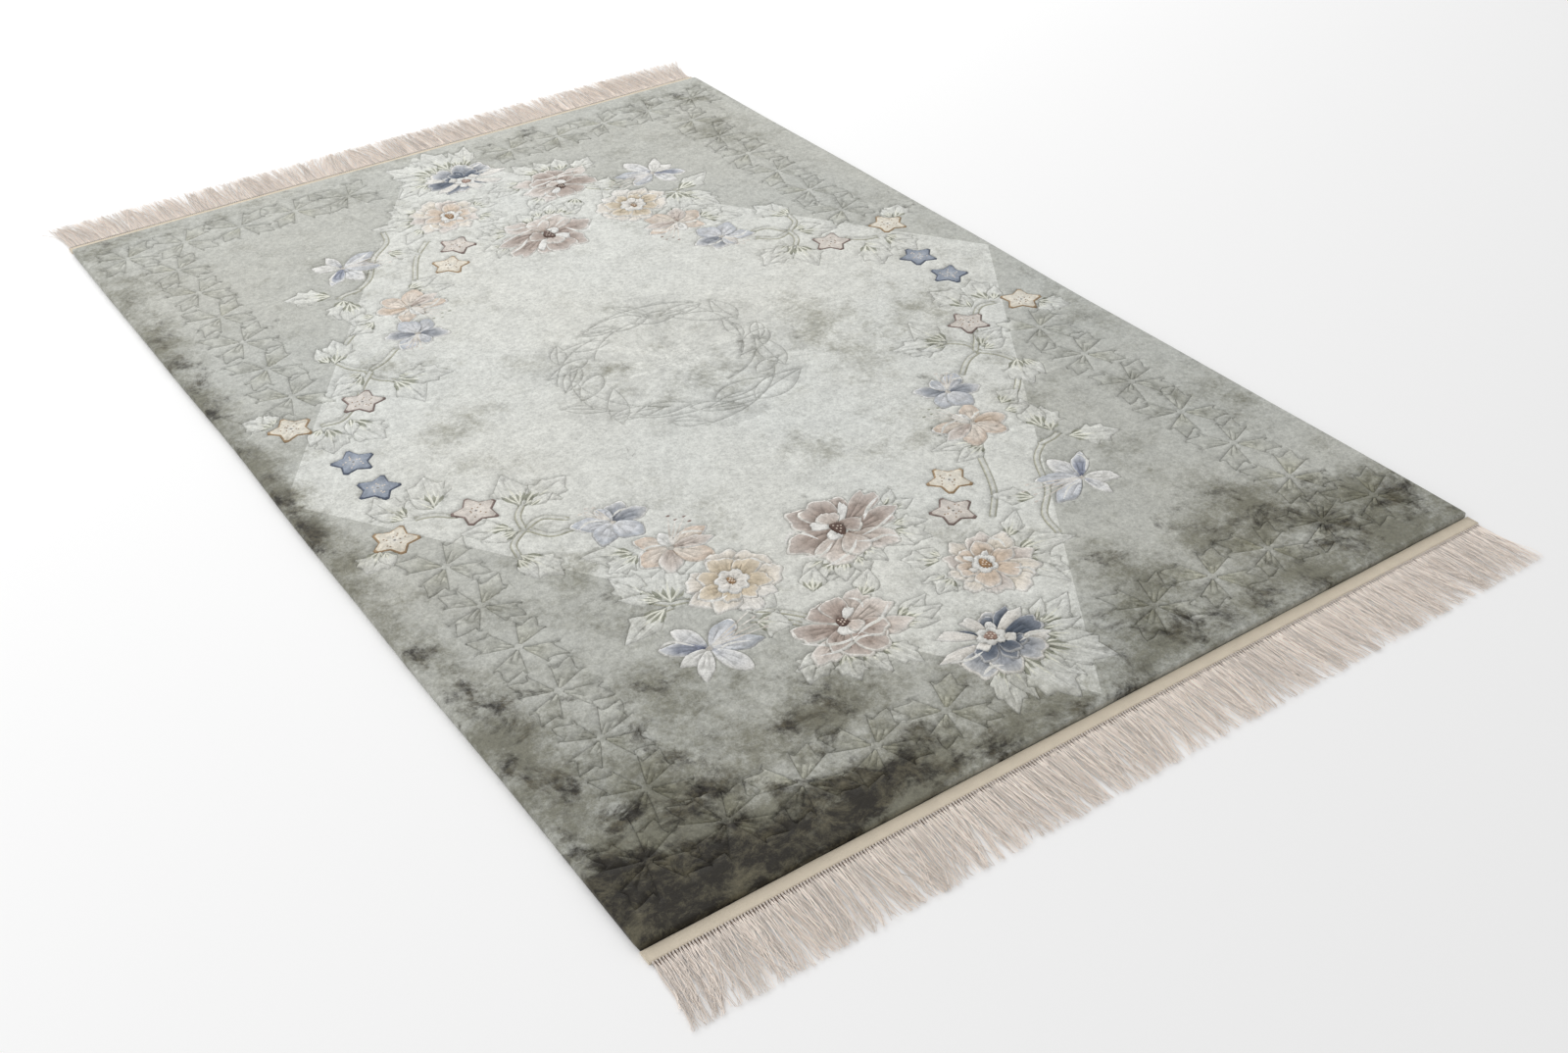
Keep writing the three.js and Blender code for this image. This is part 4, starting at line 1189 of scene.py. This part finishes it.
def fringeTree(material):
    tree, make, given, out = growTree("looseFringe", fringeSettings)
    calc = calcMaker(make)

    def plus(a, b):
        return calc("ADD", a, b)

    def minus(a, b):
        return calc("SUBTRACT", a, b)

    def times(a, b):
        return calc("MULTIPLY", a, b)

    def chance(low, high, who, seed):
        node = make("FunctionNodeRandomValue", {"ID": who, "Seed": plus(given["Seed"], seed)},
                    data_type="FLOAT")
        node.inputs[2].default_value, node.inputs[3].default_value = low, high
        return node.outputs[1]

    def slowNoise(x, y, z, scale):
        vector = make("ShaderNodeCombineXYZ", {0: x, 1: y, 2: z}).outputs[0]
        noise = make("ShaderNodeTexNoise", {"Vector": vector, "Scale": scale, "Detail": 1.0})
        return minus(noise.outputs["Fac"], 0.5)

    total = times(given["Bunches"], given["Yarns Each"])
    line = make("GeometryNodeCurvePrimitiveLine", {"End": (0, -1, 0)})
    points = make("GeometryNodeResampleCurve", {"Curve": line.outputs[0], "Count": given["Segments"]})
    copies = make("GeometryNodeDuplicateElements", {0: points.outputs[0], "Amount": total}, domain="SPLINE")
    who = copies.outputs[1]
    bunch = calc("FLOOR", calc("DIVIDE", plus(who, 0.5), given["Yarns Each"]))
    one = minus(who, times(bunch, given["Yarns Each"]))
    t = make("GeometryNodeSplineParameter").outputs["Factor"]
    across = calc("DIVIDE", plus(bunch, 0.5), given["Bunches"])
    root = times(minus(across, 0.5), given["Width"])
    step = calc("DIVIDE", given["Width"], given["Bunches"])
    middle = calc("DIVIDE", minus(given["Yarns Each"], 1.0), 2.0)
    offset = calc("DIVIDE", minus(one, middle), given["Yarns Each"])
    opening = calc("MAXIMUM", calc("MINIMUM", calc("MULTIPLY_ADD", t, 13.0, -0.42), 1.15), 0.28)
    rootSpread = times(times(offset, step), opening)
    seedNumber = times(given["Seed"], 7.3)
    tt = calc("POWER", t, 1.7)
    clump = times(slowNoise(root, seedNumber, 0.0, 26.0), times(given["Clump"], 5.0))
    lean = times(slowNoise(root, seedNumber, 3.0, 5.0), times(given["Lean"], 5.0))
    stray = chance(-1, 1, who, 11)
    stray = plus(stray, times(calc("POWER", chance(-1, 1, who, 17), 9.0), 6.0))
    fan = times(stray, times(given["Fan"], 1.5))
    flare = times(calc("POWER", times(minus(across, 0.5), 2.0), 9.0), 0.012)
    drift = plus(plus(clump, lean), plus(fan, flare))
    far = times(t, given["Length"])
    wavy = times(slowNoise(times(who, 3.17), far, seedNumber, 62.0), given["Wave"])
    wavy = times(wavy, calc("MULTIPLY_ADD", t, 2.6, 0.8))
    broad = times(slowNoise(times(who, 1.31), far, 9.0, 24.0), given["Wave"])
    broad = times(broad, times(t, 5.0))
    x = plus(plus(root, rootSpread), plus(times(drift, tt), plus(wavy, broad)))
    short = minus(1.0, times(calc("POWER", chance(0, 1, who, 12), 3.0), 0.34))
    short = plus(short, times(slowNoise(root, 2.0, seedNumber, 40.0), 0.12))
    y = times(times(far, short), -1.0)
    level = chance(0.0007, 0.0027, who, 13)
    values = {"Value": t, "From Min": 0.0, "From Max": 0.22, "To Min": 0.0021, "To Max": 0.0}
    settle = make("ShaderNodeMapRange", values, interpolation_type="SMOOTHSTEP").outputs[0]
    hop = times(slowNoise(times(who, 2.3), far, 5.0, 45.0), 0.0022)
    z = plus(plus(times(level, calc("MINIMUM", times(t, 4.0), 1.0)), settle), hop)
    z = calc("MAXIMUM", z, given["Thickness"])
    where = make("ShaderNodeCombineXYZ", {0: x, 1: y, 2: z}).outputs[0]
    placed = make("GeometryNodeSetPosition", {"Geometry": copies.outputs[0], "Position": where})
    values = {"Geometry": placed.outputs[0], "Name": "yarnShade", "Value": chance(0, 1, who, 14)}
    shade = make("GeometryNodeStoreNamedAttribute", values, domain="POINT")
    radius = times(given["Thickness"], minus(1.25, times(t, 0.55)))
    ring = make("GeometryNodeCurvePrimitiveCircle", {"Resolution": 3, "Radius": 1.0})
    sized = make("GeometryNodeSetCurveRadius", {"Curve": shade.outputs[0], "Radius": radius})
    values = {"Curve": sized.outputs[0], "Profile Curve": ring.outputs[0], "Fill Caps": True}
    tube = make("GeometryNodeCurveToMesh", values)
    if "Scale" in tube.inputs:
        tree.links.new(radius, tube.inputs["Scale"])
    real = make("GeometryNodeRealizeInstances", {0: tube.outputs[0]})
    done = make("GeometryNodeSetMaterial", {"Geometry": real.outputs[0], "Material": material})
    tree.links.new(done.outputs[0], out[0])
    return tree


def knotTree(material):  # the row of knots that holds the yarns at the tape's edge
    tree, make, given, out = growTree("knotRow", knotSettings)
    calc = calcMaker(make)
    ball = make("GeometryNodeMeshUVSphere", {"Segments": 7, "Rings": 5, "Radius": 1.0})
    step = calc("DIVIDE", given["Width"], given["Bunches"])
    first = calc("MULTIPLY_ADD", given["Width"], -0.5, calc("MULTIPLY", step, 0.5))
    start = make("ShaderNodeCombineXYZ", {0: first, 1: -0.0022, 2: 0.0022}).outputs[0]
    along = make("ShaderNodeCombineXYZ", {0: step}).outputs[0]
    values = {"Count": given["Bunches"], "Start Location": start, "Offset": along}
    row = make("GeometryNodeMeshLine", values, mode="OFFSET")
    size = make("FunctionNodeRandomValue", {"Seed": given["Seed"]}, data_type="FLOAT_VECTOR")
    size.inputs[0].default_value, size.inputs[1].default_value = (0.7, 1.9, 0.8), (0.95, 2.6, 1.1)
    scaled = make("ShaderNodeVectorMath", {0: size.outputs[0]}, operation="SCALE")
    tree.links.new(given["Size"], scaled.inputs["Scale"])
    turned = make("FunctionNodeRandomValue", {"Seed": given["Seed"]}, data_type="FLOAT_VECTOR")
    turned.inputs[0].default_value, turned.inputs[1].default_value = (-0.2, -0.2, -0.35), (0.2, 0.2, 0.35)
    placed = make("GeometryNodeInstanceOnPoints", {
        "Points": row.outputs[0], "Instance": ball.outputs[0], "Rotation": turned.outputs[0],
        "Scale": scaled.outputs[0]})
    real = make("GeometryNodeRealizeInstances", {0: placed.outputs[0]})
    smooth = make("GeometryNodeSetShadeSmooth", {0: real.outputs[0]})
    done = make("GeometryNodeSetMaterial", {"Geometry": smooth.outputs[0], "Material": material})
    tree.links.new(done.outputs[0], out[0])
    return tree


def grow(name, tree, values, turn, place):  # run a node tree, and keep the plain mesh it makes
    holder = linkObject(name + "Source", bpy.data.meshes.new(name + "Source"))
    modifier = holder.modifiers.new("grow", "NODES")
    modifier.node_group = tree
    for item in tree.interface.items_tree:
        if item.item_type == "SOCKET" and item.in_out == "INPUT" and item.name in values:
            modifier[item.identifier] = values[item.name]
    mesh = bpy.data.meshes.new_from_object(holder.evaluated_get(bpy.context.evaluated_depsgraph_get()))
    bpy.data.objects.remove(holder)
    mesh.name = name
    co = np.zeros(len(mesh.vertices) * 3)
    mesh.vertices.foreach_get("co", co)
    co = co.reshape(-1, 3)
    co[:, 1] += place
    if turn:
        co[:, :2] *= -1
    mesh.vertices.foreach_set("co", co.ravel())
    mesh.update()
    print(name, len(mesh.polygons), "faces", co.min(0).round(4), co.max(0).round(4))
    return linkObject(name, mesh)


def sweep(name, profileAt, xs, turn, look):  # a closed strip across the rug, from one profile for each x
    profiles = [profileAt(x) for x in xs]
    n, last = len(profiles[0]), len(xs) - 1
    verts = np.array([(x, y, z) for x, profile in zip(xs, profiles) for y, z in profile]) * mm
    if turn:
        verts[:, :2] *= -1
    faces = [(i * n + j, (i + 1) * n + j, (i + 1) * n + (j + 1) % n, i * n + (j + 1) % n)
             for i in range(last) for j in range(n)]
    faces += [tuple(range(n)), tuple(last * n + j for j in range(n - 1, -1, -1))]
    mesh = bpy.data.meshes.new(name)
    mesh.from_pydata(verts.tolist(), [], faces)
    mesh.materials.append(look)
    mesh.update()
    return linkObject(name, mesh)


def makeRootCord(name, turn):  # a dark strip laid under the gathered roots: painted shade in the gaps between them
    c = cordSettings
    back = -(fringeEdge + c["gap"])
    front = back - c["width"]
    profile = [(front, 0.0), (front, 0.4), (front + 2, c["height"] - 0.2), (back, c["height"]), (back, 0.0)]
    xs = np.linspace(-c["length"] / 2, c["length"] / 2, c["along"] + 1)
    return sweep(name, lambda x: profile, xs, turn, rootLook)


def makeFringe():
    yarns, knots = fringeTree(yarnLook), knotTree(yarnLook)
    edge = -fringeEdge * mm
    made = []
    for k, end in enumerate(("near", "far")):
        values = {**fringeSettings, "Seed": fringeSettings["Seed"] + k}
        made.append(grow(end + "Fringe", yarns, values, k, edge + endSettings["yarns"] * mm))
        made.append(makeRootCord(end + "RootCord", k))
        values = {**knotSettings, "Seed": knotSettings["Seed"] + k}
        made.append(grow(end + "Knots", knots, values, k, edge + endSettings["knots"] * mm))
    return made


fringes = makeFringe()


# Woven tape along each end

tapeSettings = {"width": 17.6, "height": 3.1, "length": 1196, "along": 150, "ribs": 3, "ribDepth": 0.22}


def makeTape(name, turn):
    s = tapeSettings
    half, high = s["width"] / 2, s["height"]
    edge = [(-half, 0.0), (-half, high - 1.2), (-half + 0.5, high - 0.5), (-half + 1.4, high - 0.1)]
    ribs = []
    for k in range(1, s["ribs"] * 4):
        share = k / (s["ribs"] * 4)
        dip = s["ribDepth"] * abs(math.cos(share * s["ribs"] * math.pi))
        ribs.append((edge[-1][0] * (1 - 2 * share), high - 0.05 - dip))
    profile = edge + ribs + [(-y, z) for y, z in edge[::-1]]

    def profileAt(x):  # the band sways a little, and its top isn't quite even
        sway = 0.15 * math.sin(x / 37) + 0.1 * math.sin(x / 13.3)
        return [(y + sway * (0.5 if abs(y) == half else 1) - tapeMiddle,
                 max(0, z + 0.06 * math.sin(x / 9 + y) * (z > 0))) for y, z in profile]

    made = sweep(name, profileAt, np.linspace(-s["length"] / 2, s["length"] / 2, s["along"] + 1), turn,
                 tapeLook)
    made.data.polygons.foreach_set("use_smooth", [len(p.vertices) == 4 for p in made.data.polygons])
    return made


tapes = [makeTape("nearTape", 0), makeTape("farTape", 1)]
print("tapes made")


# Floor and light

def makeFloor():
    mesh = bpy.data.meshes.new("floor")
    half, low = 9, -0.0006
    corners = [(-half, -half, low), (half, -half, low), (half, half, low), (-half, half, low)]
    mesh.from_pydata(corners, [], [(0, 1, 2, 3)])
    made = linkObject("floor", mesh)
    mesh.materials.append(newMaterial("paleFloor", (252, 252, 252), 0.9))


def makeLight(name, place, aim, size, power, colour=(1, 1, 1)):
    data = bpy.data.lights.new(name, "AREA")
    data.shape, data.size, data.size_y = "RECTANGLE", *size
    data.energy, data.color = power, colour
    lamp = bpy.data.objects.new(name, data)
    lamp.location = place
    lamp.rotation_euler = (Vector(aim) - Vector(place)).to_track_quat("-Z", "Y").to_euler()
    scene.collection.objects.link(lamp)


makeFloor()
makeLight("farSoftbox", (0.6, 3.6, 2.6), (0, 0.2, 0), (4.0, 2.2), 96)
makeLight("leftSoftbox", (-3.2, 0.4, 2.6), (0, 0, 0), (2.4, 3.0), 36)
world = bpy.data.worlds.new("room")
world.use_nodes = True
world.node_tree.nodes["Background"].inputs["Color"].default_value = (1, 1, 1, 1)
world.node_tree.nodes["Background"].inputs["Strength"].default_value = 0.62
scene.world = world
scene.view_settings.view_transform = "Standard"
print("floor and light set")


# The frame

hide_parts("carpet")
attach(pile, "root")
for piece, node in zip(tapes, ("near_tape", "far_tape")):
    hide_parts(node)
    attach(piece, "root")
for piece in fringes:
    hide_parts("near_fringe" if piece.name.startswith("near") else "far_fringe")
    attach(piece, "root")
